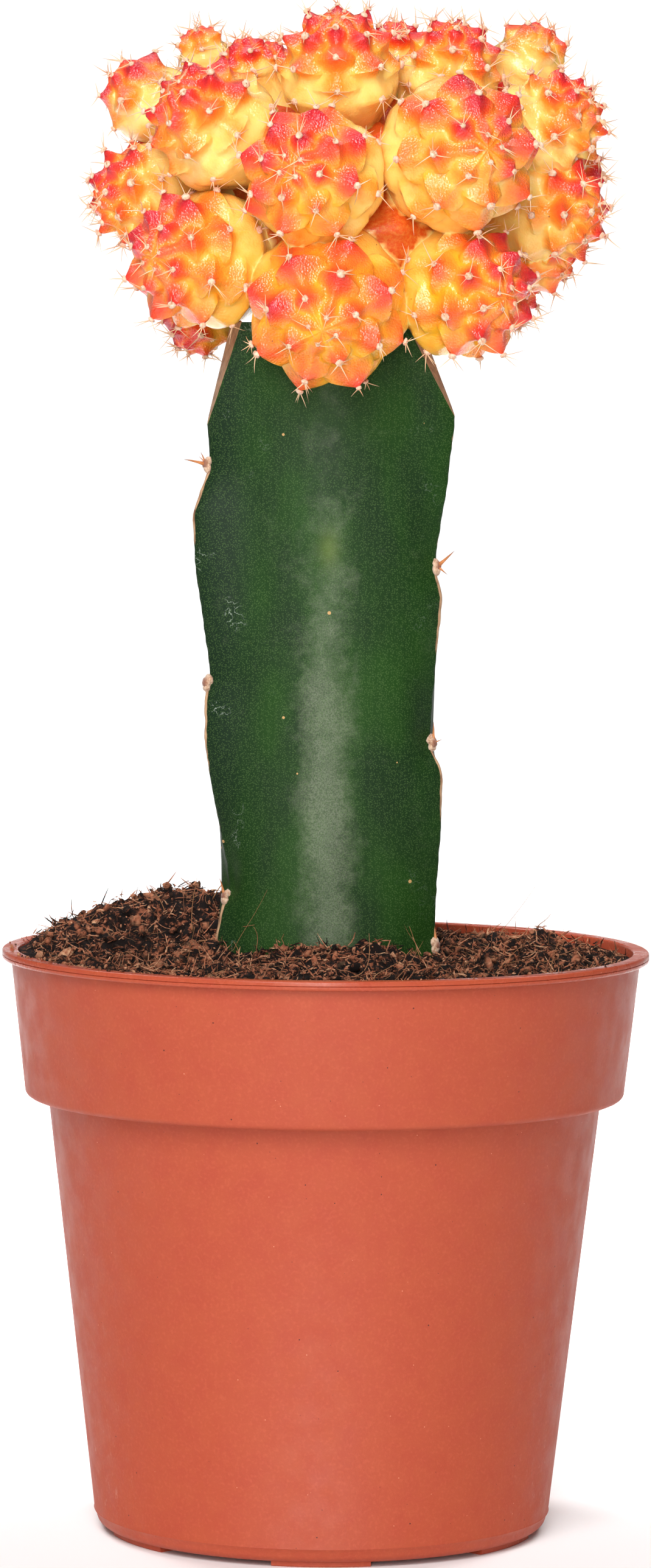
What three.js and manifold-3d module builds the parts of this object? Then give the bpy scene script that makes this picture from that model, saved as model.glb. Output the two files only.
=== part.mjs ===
// A potted moon cactus: a cluster of ribbed heads, grown as one scion, grafted on a
// three-ribbed rootstock that stands in potting mix in a thin-walled nursery pot.
// Millimetres, +Z up, origin at the middle of the plane that the pot's feet stand on.
// The side that the photograph shows faces -Y.

import * as THREE from "three";
import { mergeVertices } from "three/addons/utils/BufferGeometryUtils.js";
import Module from "manifold-3d";

const wasm = await Module();
wasm.setup();

// Driving dimensions

const RIM_DIAMETER = 85; // a standard 8.5 cm nursery pot
const POT_HEIGHT = 76.6;
const WALL = 0.9;
const LIP_HEIGHT = 1.2;
const LIP_OVERHANG = 1.2;
const LIP_CHAMFER = 0.3;
const COLLAR_HEIGHT = 19.2; // from the rim down to the step
const COLLAR_DRAFT = 1.9; // how much the collar's radius shrinks on the way down
const COLLAR_ROUND = 0.8; // round of the collar's bottom edge
const STEP = 3.1; // how far the body is set in below the collar
const BODY_BASE_RADIUS = 29.7;
const BASE_ROUND = 1.3;
const FOOT_HEIGHT = 0.7;
const FOOT_COUNT = 6;
const FOOT_SPREAD = 13; // half of a foot's sweep, in degrees
const FOOT_WIDTH = 4;
const DRAIN_RADIUS = 2.6;
const DRAIN_RING_RADIUS = 17;
const POT_SIDES = 48;
const SEAT_GAP = 0.3; // between pieces that touch

const STOCK_TOP = 158.6; // the cut on which the scion is grafted
const STOCK_FOOT = 48; // the lower cut, buried in the mix
const STOCK_CORE_RADIUS = 12.2; // from the axis to the middle of a face
const CORE_BLEND = 8; // how tightly the ribs curve into the core
const RIB_ANGLES = [206, 334, 90]; // left, right and rear rib, in degrees
const FACE_SWEEP = 120; // from rib to rib on an even stock, in degrees
const FACE_STEPS = [0, 4, 12, 26, 45, 75, 94, 108, 116]; // of that sweep
const STOCK_SPINE_LENGTH = 3;
const STOCK_SPINE_RADIUS = 0.22;
const AREOLE_RADIUS = 1.1;
const AREOLE_SPINE_LIFTS = [-0.5, 0.35, 1]; // how far each spine of a pad tilts up

const SCION_CENTRE = new THREE.Vector3(2.8, 1, 173.5);
const SCION_RADIUS = 19.5;
const SCION_HALF_HEIGHT = 15;
const HEAD_SQUASH = 0.9; // a head's height over its width
const HEAD_FULLNESS = 2.6; // 2 would be an ellipsoid, more has fuller shoulders
const HEAD_RIBS = 8;
const SMALL_HEAD = 6.2; // heads below this radius have fewer ribs and areoles
const SMALL_HEAD_RIBS = 6;
const TUBERCLE_HEIGHT = 0.1; // of a head's radius, like the two sizes below
const GROOVE_DEPTH = 0.17;
const DIMPLE_DEPTH = 0.05;
const RELIEF_OPENING = 1.6; // how fast ribs deepen away from a head's top
const NECK_DEPTH = 0.28; // where a head's neck ends, from the scion's middle outwards
const SPINE_LENGTH = 2.9;
const SPINE_RADIUS = 0.17;
const SPINE_ROOT = 0.5;
const SPINE_LEAN = 0.9;
const BESIDE_AREOLE = 0.12; // how far into the face beside its areole a spine stands

const COLOURS = { pot: 0xcb6248, mix: 0x4a3226, rootstock: 0x23461f, scion: 0xf39a3c };

// Helpers

const rad = THREE.MathUtils.degToRad;
const { lerp, smoothstep } = THREE.MathUtils;
const vector = (x, y, z) => new THREE.Vector3(x, y, z);
const polar = (radius, angle, z) =>
  vector(radius * Math.cos(angle), radius * Math.sin(angle), z);

// Random numbers from 0 to 1, the same ones each time for a seed.
function seeded(seed) {
  let state = seed;
  return () => {
    state = (state * 1664525 + 1013904223) % 4294967296;
    return state / 4294967296;
  };
}

// A closed three.js geometry as a solid that can be joined and cut.
function solidOf(geometry) {
  const bare = geometry.index ? geometry.toNonIndexed() : geometry.clone();
  bare.deleteAttribute("normal");
  bare.deleteAttribute("uv");
  const merged = mergeVertices(bare, 1e-4);
  const index = merged.index.array;
  const triangles = [];
  for (let i = 0; i < index.length; i += 3) {
    const [a, b, c] = index.slice(i, i + 3);
    if (a !== b && b !== c && c !== a) triangles.push(a, b, c);
  }
  return new wasm.Manifold(
    new wasm.Mesh({
      numProp: 3,
      vertProperties: new Float32Array(merged.attributes.position.array),
      triVerts: new Uint32Array(triangles),
    }),
  );
}

// The main body of a solid, without scraps that a cut left loose.
function largest(solid) {
  return solid.decompose().reduce((best, body) => (body.volume() > best.volume() ? body : best));
}

function geometryOf(solid) {
  const { vertProperties, triVerts } = solid.getMesh();
  return new THREE.BufferGeometry()
    .setAttribute("position", new THREE.BufferAttribute(vertProperties, 3))
    .setIndex(new THREE.BufferAttribute(triVerts, 1));
}

// A closed skin from one end point over rings of points to the other end point.
// Seen from the last point's side, each ring runs anticlockwise.
function skin(first, rings, last) {
  const count = rings[0].length;
  const points = [first, ...rings.flat(), last];
  const at = (ring, k) => 1 + ring * count + (k % count);
  const faces = [];
  for (let k = 0; k < count; k++) {
    faces.push(0, at(0, k + 1), at(0, k));
    faces.push(points.length - 1, at(rings.length - 1, k), at(rings.length - 1, k + 1));
    for (let ring = 0; ring + 1 < rings.length; ring++) {
      const [a, b] = [at(ring, k), at(ring, k + 1)];
      const [c, d] = [at(ring + 1, k + 1), at(ring + 1, k)];
      faces.push(a, b, c, a, c, d);
    }
  }
  return new THREE.BufferGeometry()
    .setAttribute(
      "position",
      new THREE.Float32BufferAttribute(points.flatMap((p) => p.toArray()), 3),
    )
    .setIndex(faces);
}

// A solid turned about Z from a profile of [radius, height] points.
function turned(profile, sides) {
  const points = profile.map(([r, z]) => new THREE.Vector2(r, z));
  return new THREE.LatheGeometry(points, sides).rotateX(Math.PI / 2);
}

// Profile points on an arc about [radius, height], between two angles in degrees.
function arc(radius, height, round, from, to, steps) {
  return Array.from({ length: steps + 1 }, (_, i) => {
    const angle = rad(lerp(from, to, i / steps));
    return [radius + round * Math.cos(angle), height + round * Math.sin(angle)];
  });
}

// A slim three-sided spine, its root sunk into what it grows from.
function spine(root, direction, length, radius) {
  const sunk = SPINE_ROOT + length;
  const turn = new THREE.Quaternion().setFromUnitVectors(
    vector(0, 1, 0),
    direction.clone().normalize(),
  );
  return new THREE.ConeGeometry(radius, sunk, 3)
    .translate(0, sunk / 2 - SPINE_ROOT, 0)
    .applyQuaternion(turn)
    .translate(root.x, root.y, root.z);
}

// Pot

const LIP_RADIUS = RIM_DIAMETER / 2;
const COLLAR_TOP_RADIUS = LIP_RADIUS - LIP_OVERHANG;
const COLLAR_BOTTOM_RADIUS = COLLAR_TOP_RADIUS - COLLAR_DRAFT;
const BODY_TOP_RADIUS = COLLAR_BOTTOM_RADIUS - STEP;
const STEP_HEIGHT = POT_HEIGHT - COLLAR_HEIGHT;
const LEDGE_HEIGHT = STEP_HEIGHT + WALL; // the step, inside
const LEDGE_SLOPE = 0.1;
const FLOOR_TOP = FOOT_HEIGHT + WALL;

// The pot's inner radius at a height above its floor.
function innerRadius(z) {
  const [low, high, from, to] =
    z < LEDGE_HEIGHT
      ? [BODY_BASE_RADIUS, BODY_TOP_RADIUS, FOOT_HEIGHT, STEP_HEIGHT]
      : [COLLAR_BOTTOM_RADIUS, COLLAR_TOP_RADIUS, STEP_HEIGHT, POT_HEIGHT];
  return lerp(low, high, (z - from) / (to - from)) - WALL;
}

function potWall() {
  const lipBottom = POT_HEIGHT - LIP_HEIGHT;
  const baseCentre = BODY_BASE_RADIUS - BASE_ROUND;
  const collarCentre = COLLAR_BOTTOM_RADIUS - COLLAR_ROUND;
  const [above, below] = [LEDGE_HEIGHT + LEDGE_SLOPE, LEDGE_HEIGHT - LEDGE_SLOPE];
  return turned(
    [
      [0, FOOT_HEIGHT],
      ...arc(baseCentre, FOOT_HEIGHT + BASE_ROUND, BASE_ROUND, -90, 0, 3),
      [BODY_TOP_RADIUS, STEP_HEIGHT - COLLAR_ROUND],
      [BODY_TOP_RADIUS + COLLAR_ROUND, STEP_HEIGHT],
      ...arc(collarCentre, STEP_HEIGHT + COLLAR_ROUND, COLLAR_ROUND, -90, 0, 2),
      [COLLAR_TOP_RADIUS, lipBottom],
      [LIP_RADIUS - LIP_CHAMFER, lipBottom],
      [LIP_RADIUS, lipBottom + LIP_CHAMFER],
      [LIP_RADIUS, POT_HEIGHT - LIP_CHAMFER],
      [LIP_RADIUS - LIP_CHAMFER, POT_HEIGHT],
      [innerRadius(POT_HEIGHT), POT_HEIGHT],
      [innerRadius(above), above],
      [innerRadius(below), below],
      [innerRadius(FLOOR_TOP), FLOOR_TOP],
      [0, FLOOR_TOP],
    ],
    POT_SIDES,
  );
}

// A low pad under the base, centred on an angle.
function foot(angle) {
  const outer = BODY_BASE_RADIUS - BASE_ROUND;
  const [from, to] = [angle - rad(FOOT_SPREAD), angle + rad(FOOT_SPREAD)];
  const outline = new THREE.Shape()
    .absarc(0, 0, outer, from, to, false)
    .absarc(0, 0, outer - FOOT_WIDTH, to, from, true);
  const depth = FOOT_HEIGHT + WALL / 2;
  return new THREE.ExtrudeGeometry(outline, {
    depth,
    bevelEnabled: false,
    curveSegments: 4,
  });
}

function drain(angle) {
  const { x, y } = polar(DRAIN_RING_RADIUS, angle, 0);
  return new THREE.CylinderGeometry(DRAIN_RADIUS, DRAIN_RADIUS, 4 * FLOOR_TOP, 10)
    .rotateX(Math.PI / 2)
    .translate(x, y, 0);
}

function potSolid() {
  const pitch = rad(360 / FOOT_COUNT);
  const places = Array.from({ length: FOOT_COUNT }, (_, i) => i * pitch - rad(90));
  const feet = places.map((angle) => solidOf(foot(angle)));
  const drains = places.map((angle) => solidOf(drain(angle + pitch / 2)));
  return wasm.Manifold.union([solidOf(potWall()), ...feet]).subtract(
    wasm.Manifold.union(drains),
  );
}

// Rootstock

// For each rib, the radius of its edge at heights from the top down. It has a notch at
// each areole and swells below it.
const RIB_EDGES = [
  [
    [159, 18.6], [146, 17.9], [141.5, 17.6], [139, 17.9], [134, 20], [126, 19.4],
    [118, 18], [113, 17.2], [110.5, 18], [104, 18], [97, 16.6], [88, 14.6],
    [85, 14.2], [82.5, 15.4], [78, 16.4], [70, 16.6], [46, 14.4],
  ],
  [
    [159, 18.6], [146, 18.2], [138, 17.3], [128.5, 15.6], [126, 15.8], [123.5, 16.7],
    [115, 15.8], [105.5, 15.1], [103, 15.5], [100.5, 17], [92, 16.7], [84, 16.1],
    [78.5, 16], [70, 16.8], [46, 15],
  ],
  [
    [159, 18.8], [150, 18.9], [140, 18], [132, 17], [129.5, 17.2], [127, 18.3],
    [118, 18.6], [109, 17.2], [106.5, 17.4], [104, 18.4], [95, 18], [86, 16.6],
    [83.5, 16.8], [81, 17.6], [70, 17.2], [46, 15],
  ],
];
const STOCK_AREOLES = [[140.2, 111.8, 83.9], [127.2, 104.2, 80.4], [130.8, 107.8, 84.8]];
// The ribs' ends are shaved off aslant below the graft: from what height, and how deep.
const SHAVED = [
  { from: 144.8, depth: 4.2 },
  { from: 146.2, depth: 6.2 },
  { from: 145.2, depth: 5 },
];
const STOCK_LEVELS = [
  62, 74, 78, 81, 84, 88, 92, 96, 100, 103.5, 106, 109, 112, 115, 119, 123, 126, 129,
  132, 136, 139, 142, 146, 152,
];

function edgeRadius(rib, z) {
  const edge = RIB_EDGES[rib];
  const below = Math.max(1, edge.findIndex(([height]) => height <= z));
  const [[z1, r1], [z0, r0]] = [edge[below - 1], edge[below]];
  return lerp(r0, r1, (z - z0) / (z1 - z0));
}

// The stock's outline at a height: three thin ribs that curve into a round core.
function stockRing(z, grow) {
  return RIB_ANGLES.flatMap((angle, rib) => {
    const next = (rib + 1) % RIB_ANGLES.length;
    const sweep = (RIB_ANGLES[next] - angle + 360) % 360;
    return FACE_STEPS.map((step) => {
      const past = Math.min(step, FACE_SWEEP - step);
      const edge = edgeRadius(past === step ? rib : next, z);
      const half = FACE_SWEEP / 2;
      const flat = (edge * Math.cos(rad(half))) / Math.cos(rad(half - past));
      const blend = (flat ** CORE_BLEND + STOCK_CORE_RADIUS ** CORE_BLEND) ** (1 / CORE_BLEND);
      return polar(blend + grow, rad(angle + (sweep * step) / FACE_SWEEP), z);
    });
  });
}

function stockBody(bottom, top, grow) {
  const between = STOCK_LEVELS.filter((z) => z > bottom + 1 && z < top - 1);
  const rings = [bottom, ...between, top].map((z) => stockRing(z, grow));
  return solidOf(skin(vector(0, 0, bottom), rings, vector(0, 0, top)));
}

// What a slanting cut takes off the end of a rib.
function shaving(rib) {
  const { from, depth } = SHAVED[rib];
  const tilt = Math.atan2(depth, STOCK_TOP - from);
  const size = 4 * STOCK_CORE_RADIUS;
  const beyond = new THREE.BoxGeometry(size, size, size)
    .translate(size / 2, 0, size / 2)
    .rotateY(-tilt)
    .translate(edgeRadius(rib, from), 0, from)
    .rotateZ(rad(RIB_ANGLES[rib]));
  return solidOf(beyond);
}

function stockAreole(rib, z, random) {
  const out = polar(1, rad(RIB_ANGLES[rib]), 0);
  const seat = out.clone().multiplyScalar(edgeRadius(rib, z)).setZ(z);
  const pad = new THREE.IcosahedronGeometry(AREOLE_RADIUS, 0);
  const parts = [pad.translate(seat.x, seat.y, seat.z)];
  for (const lift of AREOLE_SPINE_LIFTS) {
    const lean = vector(random() - 0.5, random() - 0.5, lift);
    parts.push(spine(seat, lean.add(out), STOCK_SPINE_LENGTH, STOCK_SPINE_RADIUS));
  }
  return parts;
}

function rootstockSolid() {
  const random = seeded(7);
  const areoles = STOCK_AREOLES.flatMap((heights, rib) =>
    heights.flatMap((z) => stockAreole(rib, z, random)),
  );
  const body = stockBody(STOCK_FOOT, STOCK_TOP, 0);
  return wasm.Manifold.union([body, ...areoles.map(solidOf)]).subtract(
    wasm.Manifold.union(RIB_ANGLES.map((_, rib) => shaving(rib))),
  );
}

// Potting mix

const MIX_EDGE = POT_HEIGHT - 1.2; // where the mix meets the pot's wall
const MIX_SLOPE = 5; // how far in from the wall the surface reaches its full height
// Heaps and a hollow in the surface: height, middle and spread.
const MIX_HEAPS = [
  { rise: 7.6, x: -18, y: 10, spread: 8 },
  { rise: 3, x: -31, y: 3, spread: 6 },
  { rise: 2.6, x: 3, y: -13, spread: 9 },
  { rise: 2.2, x: 22, y: 3, spread: 8 },
  { rise: -2.2, x: 25, y: 21, spread: 9 },
];
const MIX_RING_RADII = [39.6, 37.5, 34.5, 31, 27, 23, 18.5, 14];
const MIX_HOLE_TOP = 95; // above the surface, so that the stock's hole goes through

function mixHeight(x, y) {
  const heaps = MIX_HEAPS.reduce((sum, heap) => {
    const away = (x - heap.x) ** 2 + (y - heap.y) ** 2;
    return sum + heap.rise * Math.exp(-away / (2 * heap.spread ** 2));
  }, 0);
  const crumbs =
    0.45 * Math.sin(0.9 * x + 1.3) * Math.sin(0.8 * y + 0.4) +
    0.3 * Math.sin(1.7 * x + 0.6 * y) +
    0.2 * Math.sin(2.3 * y - 1.1 * x + 2);
  const inside = smoothstep(innerRadius(MIX_EDGE) - Math.hypot(x, y), 0, MIX_SLOPE);
  return MIX_EDGE + inside * (heaps + crumbs);
}

function mixSolid() {
  const circle = (radius, height) =>
    Array.from({ length: POT_SIDES }, (_, k) => {
      const point = polar(radius, (k / POT_SIDES) * 2 * Math.PI, 0);
      return point.setZ(height ?? mixHeight(point.x, point.y));
    });
  const bottom = FLOOR_TOP + SEAT_GAP;
  const seat = LEDGE_HEIGHT + LEDGE_SLOPE + SEAT_GAP;
  const walls = [
    circle(innerRadius(bottom) - SEAT_GAP, bottom),
    circle(innerRadius(LEDGE_HEIGHT - LEDGE_SLOPE) - SEAT_GAP, seat),
    circle(innerRadius(LEDGE_HEIGHT + LEDGE_SLOPE) - SEAT_GAP, seat + LEDGE_SLOPE),
    circle(innerRadius(MIX_EDGE - 2) - SEAT_GAP, MIX_EDGE - 2),
  ];
  const surface = MIX_RING_RADII.map((radius) => circle(radius));
  const body = skin(vector(0, 0, bottom), [...walls, ...surface], vector(0, 0, MIX_EDGE));
  return solidOf(body).subtract(stockBody(STOCK_FOOT - SEAT_GAP, MIX_HOLE_TOP, SEAT_GAP));
}

// Scion

// Heads that the photograph shows: middle, radius and where the top points.
const FRONT_HEADS = [
  { at: [0.8, -9, 191.6], r: 7.9, top: [-0.05, -0.45, 0.9] },
  { at: [15.3, -2, 191.7], r: 6.8, top: [0.15, -0.25, 0.95] },
  { at: [25.9, 8, 193.4], r: 5.3, top: [0.45, -0.1, 0.85] },
  { at: [-15.6, -11, 184.1], r: 8.4, top: [-0.68, -0.45, 0.6] },
  { at: [-24.7, 3, 188], r: 5.7, top: [-0.7, -0.2, 0.6] },
  { at: [-21.8, 6, 187.4], r: 4.2, top: [-0.3, -0.1, 0.9] },
  { at: [-17.1, 8, 194.1], r: 3.6, top: [-0.3, 0, 0.95] },
  { at: [-11, 4, 192.4], r: 3.8, top: [-0.2, -0.1, 0.95] },
  { at: [-8.2, 7, 192.6], r: 3.2, top: [0, 0, 1] },
  { at: [8.2, 5, 194.2], r: 4.3, top: [0, -0.1, 1] },
  { at: [-2.6, -21, 177], r: 9.1, top: [-0.33, -0.93, 0.13] },
  { at: [16.3, -17.5, 180.1], r: 10.1, top: [0.39, -0.92, 0.05] },
  { at: [28.6, -3, 184.6], r: 7.2, top: [0.75, -0.4, 0.5] },
  { at: [31, 9, 178.6], r: 5.3, top: [0.9, 0.1, 0.2] },
  { at: [29, -2.5, 173.4], r: 7.4, top: [0.88, -0.4, 0] },
  { at: [26.9, 1, 168], r: 5.8, top: [0.75, -0.45, -0.4] },
  { at: [-24.8, -1.5, 175], r: 7.1, top: [-0.88, -0.4, -0.1] },
  { at: [-17.3, -12, 166.6], r: 9.2, top: [-0.69, -0.72, 0] },
  { at: [-0.5, -18, 160.3], r: 10.6, top: [-0.06, -0.94, -0.3] },
  { at: [17.5, -13, 162.6], r: 8.8, top: [0.63, -0.77, -0.1] },
  { at: [-17.2, 4.5, 158.5], r: 4.7, top: [-0.5, -0.2, -0.85] },
  { at: [21.7, 4, 161.8], r: 4.6, top: [0.6, -0.1, -0.8] },
];
// The head in the middle of the crown, hidden behind those.
const CROWN_HEAD = { at: [1.2, 6.5, 189.5], r: 6.6, top: [0, 0.1, 1] };
// Rows of heads round the rear, which the photograph hides: height, distance out,
// radius, how far the top points up, and the angles that the row spans.
const REAR_ROWS = [
  { z: 164.5, out: 20, r: 7.9, up: -0.3, from: 26, to: 154, count: 4 },
  { z: 176.5, out: 24, r: 8.6, up: 0.1, from: 36, to: 156, count: 4 },
  { z: 184.8, out: 16.5, r: 7.6, up: 0.75, from: 24, to: 156, count: 4 },
];
const REAR_JITTER = { turn: 3, rise: 2, growth: 0.08 };
const MOTHER = {
  at: SCION_CENTRE.toArray(),
  r: SCION_RADIUS,
  top: [0, 0, 1],
  ribs: 10,
  rows: [18, 38, 58, 78, 98, 118, 138, 158],
  squash: SCION_HALF_HEIGHT / SCION_RADIUS,
};

function rearHeads() {
  const random = seeded(21);
  return REAR_ROWS.flatMap(({ z, out, r, up, from, to, count }) =>
    Array.from({ length: count }, (_, i) => {
      const { turn, rise, growth } = REAR_JITTER;
      const angle = lerp(from, to, i / (count - 1)) + turn * (2 * random() - 1);
      const way = polar(1, rad(angle), up);
      const at = SCION_CENTRE.clone().addScaledVector(way, out).setZ(z + rise * random());
      return { at: at.toArray(), r: r * (1 + growth * (2 * random() - 1)), top: way.toArray() };
    }),
  );
}

// An offset's own ribs and the rows, in degrees from its top, that its areoles are on.
// Neighbouring ribs carry them on alternate rows.
function offset(head, random) {
  const small = head.r < SMALL_HEAD;
  return {
    ...head,
    ribs: small ? SMALL_HEAD_RIBS : HEAD_RIBS,
    rows: small ? [18, 46, 74, 102] : [15, 34, 53, 72, 91, 110],
    squash: HEAD_SQUASH,
    twist: random() * Math.PI,
  };
}

// A point of a head's surface on a row and a column; even columns are rib crests.
function headPoint(head, row, column) {
  const { at, r, top, ribs, rows, squash, twist = 0 } = head;
  const theta = rad(rows[row]);
  const open = Math.min(1, RELIEF_OPENING * Math.sin(theta));
  const crest = column % 2 === 0;
  const areole = (column / 2 + row) % 2 === 0;
  const sunk = crest ? (areole ? 0 : TUBERCLE_HEIGHT) : GROOVE_DEPTH;
  const across = Math.sin(theta) ** HEAD_FULLNESS;
  const along = Math.abs(Math.cos(theta) / squash) ** HEAD_FULLNESS;
  const radius = (r * (1 - open * sunk)) / (across + along) ** (1 / HEAD_FULLNESS);
  const point = polar(radius * Math.sin(theta), twist + (Math.PI * column) / ribs, 0);
  point.z = radius * Math.cos(theta);
  return placed(point, at, top);
}

// A point given about a head's own middle and axis, in the plant's frame.
function placed(point, at, top) {
  const axis = vector(...top).normalize();
  const turn = new THREE.Quaternion().setFromUnitVectors(vector(0, 0, 1), axis);
  return point.applyQuaternion(turn).add(vector(...at));
}

function headSolid(head, root) {
  const columns = Array.from({ length: 2 * head.ribs }, (_, column) => column);
  const rings = head.rows.map((_, row) => columns.map((k) => headPoint(head, row, k)));
  const peak = head.r * (head.squash * Math.cos(rad(head.rows[0])) - DIMPLE_DEPTH);
  return solidOf(skin(root, rings.reverse(), placed(vector(0, 0, peak), head.at, head.top)));
}

// Whether a point lies inside one of the other heads, or beside the stock's top.
function buried(point, heads, own) {
  const stockReach = Math.max(...RIB_EDGES.map((edge) => edge[0][1])) + SEAT_GAP;
  const byStock = point.z < STOCK_TOP && Math.hypot(point.x, point.y) < stockReach;
  const inHead = (head) => head !== own && point.distanceTo(vector(...head.at)) < head.r;
  return byStock || heads.some(inHead);
}

// One spine at each areole below the top ones that stands clear of the other heads.
function headSpines(head, heads, random) {
  const spines = [];
  for (let rib = 0; rib < head.ribs; rib++) {
    for (let row = 2 - (rib % 2); row < head.rows.length - 1; row += 2) {
      const areole = headPoint(head, row, 2 * rib);
      const root = areole.clone().multiplyScalar(1 - 2 * BESIDE_AREOLE);
      root.addScaledVector(headPoint(head, row, 2 * rib + 1), BESIDE_AREOLE);
      root.addScaledVector(headPoint(head, row - 1, 2 * rib + 1), BESIDE_AREOLE);
      const out = areole.sub(vector(...head.at)).normalize();
      const lean = vector(random() - 0.5, random() - 0.5, random() - 0.5);
      const way = out.addScaledVector(lean, SPINE_LEAN).normalize();
      const tip = root.clone().addScaledVector(way, SPINE_LENGTH);
      if (buried(tip, heads, head) || buried(root, heads, head)) continue;
      spines.push(spine(root, way, SPINE_LENGTH, SPINE_RADIUS));
    }
  }
  return spines;
}

function scionSolid() {
  const random = seeded(5);
  const found = [...FRONT_HEADS, CROWN_HEAD, ...rearHeads()];
  const heads = found.map((head) => offset(head, random));
  const neckRoot = ({ at }) => SCION_CENTRE.clone().lerp(vector(...at), NECK_DEPTH);
  const mother = headSolid(MOTHER, SCION_CENTRE.clone().setZ(STOCK_TOP));
  const offsets = heads.map((head) => headSolid(head, neckRoot(head)));
  const spines = heads.flatMap((head) => headSpines(head, heads, random)).map(solidOf);
  const seated = wasm.Manifold.union([mother, ...offsets, ...spines]).subtract(
    stockBody(STOCK_FOOT, STOCK_TOP + SEAT_GAP, SEAT_GAP),
  );
  return largest(seated);
}

// The plant in its pot

function piece(name, solid, color, roughness) {
  const material = new THREE.MeshStandardMaterial({ color, roughness, metalness: 0 });
  const mesh = new THREE.Mesh(geometryOf(solid), material);
  mesh.name = name;
  return mesh;
}

const plant = new THREE.Group();
plant.add(
  piece("pot", potSolid(), COLOURS.pot, 0.5),
  piece("potting_mix", mixSolid(), COLOURS.mix, 1),
  piece("rootstock", rootstockSolid(), COLOURS.rootstock, 0.6),
  piece("scion", scionSolid(), COLOURS.scion, 0.4),
);

export default plant;
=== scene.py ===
# %% [markdown]
# # A moon cactus in a nursery pot
#
# A moon cactus is two plants joined by a graft. The coloured one on top has no green of its
# own, so it lives on the green rootstock below. This lesson dresses the whole plant: first the
# view and the light, then the pot, the rootstock, the potting mix and the coloured scion.
# The part is already built as plain solids, and each of them is replaced here by a finer mesh
# of the same form.

import math

import bmesh
import bpy
import numpy as np
from mathutils import Matrix, Vector, noise


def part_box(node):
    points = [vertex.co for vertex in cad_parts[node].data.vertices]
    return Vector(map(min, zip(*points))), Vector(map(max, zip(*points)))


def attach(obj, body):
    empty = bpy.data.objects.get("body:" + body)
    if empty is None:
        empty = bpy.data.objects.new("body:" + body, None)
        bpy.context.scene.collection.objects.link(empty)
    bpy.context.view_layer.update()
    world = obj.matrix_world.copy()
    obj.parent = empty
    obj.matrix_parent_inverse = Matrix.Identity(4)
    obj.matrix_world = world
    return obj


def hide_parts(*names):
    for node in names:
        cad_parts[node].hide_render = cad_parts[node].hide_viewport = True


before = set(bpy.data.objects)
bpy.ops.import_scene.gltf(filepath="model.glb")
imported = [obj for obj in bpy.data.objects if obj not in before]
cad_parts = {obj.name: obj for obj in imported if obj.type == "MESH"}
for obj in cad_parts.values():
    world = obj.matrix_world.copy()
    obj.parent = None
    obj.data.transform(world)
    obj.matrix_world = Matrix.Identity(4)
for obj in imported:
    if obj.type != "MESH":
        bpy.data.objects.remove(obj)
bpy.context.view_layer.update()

# %% [markdown]
# ## Working in millimetres
#
# A plant this small is easier to think about in millimetres, while Blender's scene is in
# metres. So every shape below is worked out as an array of points in millimetres, and one
# helper scales it down and makes the mesh. Blender could also model with primitives and
# sculpting, but a formula keeps ribs and spines even on all sides.

# %% Mesh helpers
MM = 0.001
DRESSED_AS = {  # the first word of a piece's name: its slot in the record, and its solid
    "pot": ("pot_plastic", "pot"),
    "mix": ("potting_mix", "potting_mix"),
    "rootstock": ("rootstock_skin", "rootstock"),
    "scion": ("scion_skin", "scion"),
}


def mesh_of(name, points, faces):
    """A mesh from points in millimetres."""
    mesh = bpy.data.meshes.new(name)
    mesh.from_pydata((np.asarray(points, dtype=float) * MM).tolist(), [], faces)
    return mesh


def shown(name, data):
    """An object that is part of the scene."""
    thing = bpy.data.objects.new(name, data)
    bpy.context.scene.collection.objects.link(thing)
    return thing


def set_smooth(mesh, smooth=True):
    """Shades all faces of a mesh smooth, or flat."""
    mesh.polygons.foreach_set("use_smooth", [smooth] * len(mesh.polygons))


def dress(piece, material):
    """Gives a piece its material, puts it on the plant's only body, and hides the solid it stands
    for.
    """
    slot, solid = DRESSED_AS[piece.name.split("_")[0]]
    piece.data.materials.append(material)
    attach(piece, "root")
    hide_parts(solid)
    print(f"{piece.name}: {len(piece.data.vertices)} points, {len(piece.data.polygons)} faces")


def add_piece(name, points, faces, material, smooth=True):
    """A mesh piece from points in millimetres, riding on the plant's only body."""
    mesh = mesh_of(name, points, faces)
    mesh.validate()
    set_smooth(mesh, smooth)
    piece = shown(name, mesh)
    dress(piece, material)
    return piece


def set_value(piece, name, values):
    """Stores one number per point, which a material can read by name."""
    attribute = piece.data.attributes.new(name, "FLOAT", "POINT")
    attribute.data.foreach_set("value", np.asarray(values, dtype=np.float32))


def ring_faces(rings, count, closed_row=True):
    """Quads between rings of `count` points each, numbered ring after ring."""
    faces = []
    for ring in range(rings - 1):
        for k in range(count if closed_row else count - 1):
            a, b = ring * count + k, ring * count + (k + 1) % count
            faces.append((a, b, b + count, a + count))
    return faces


def unit(vectors):
    return vectors / np.linalg.norm(vectors, axis=-1, keepdims=True)


def smoothstep(low, high, x):
    t = np.clip((x - low) / (high - low), 0.0, 1.0)
    return t * t * (3 - 2 * t)


def lumps(points, size, seed=0.0):
    """Smooth random heights from -1 to 1 at points, with lumps about `size` across."""
    shift = Vector((seed, 2.3 * seed, -1.7 * seed))
    return np.array([noise.noise(Vector(p) / size + shift) for p in points])

# %% [markdown]
# ## The view
#
# The picture is portrait, taken from well back with a long lens, so the pot's rim is a thin
# ellipse. A camera can be placed by eye, but its height and its distance can also be worked
# out from how open the rim's and the base's ellipses are. The lens follows from the height
# of the frame, and a slight roll brings the rim level with the picture.

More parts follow.
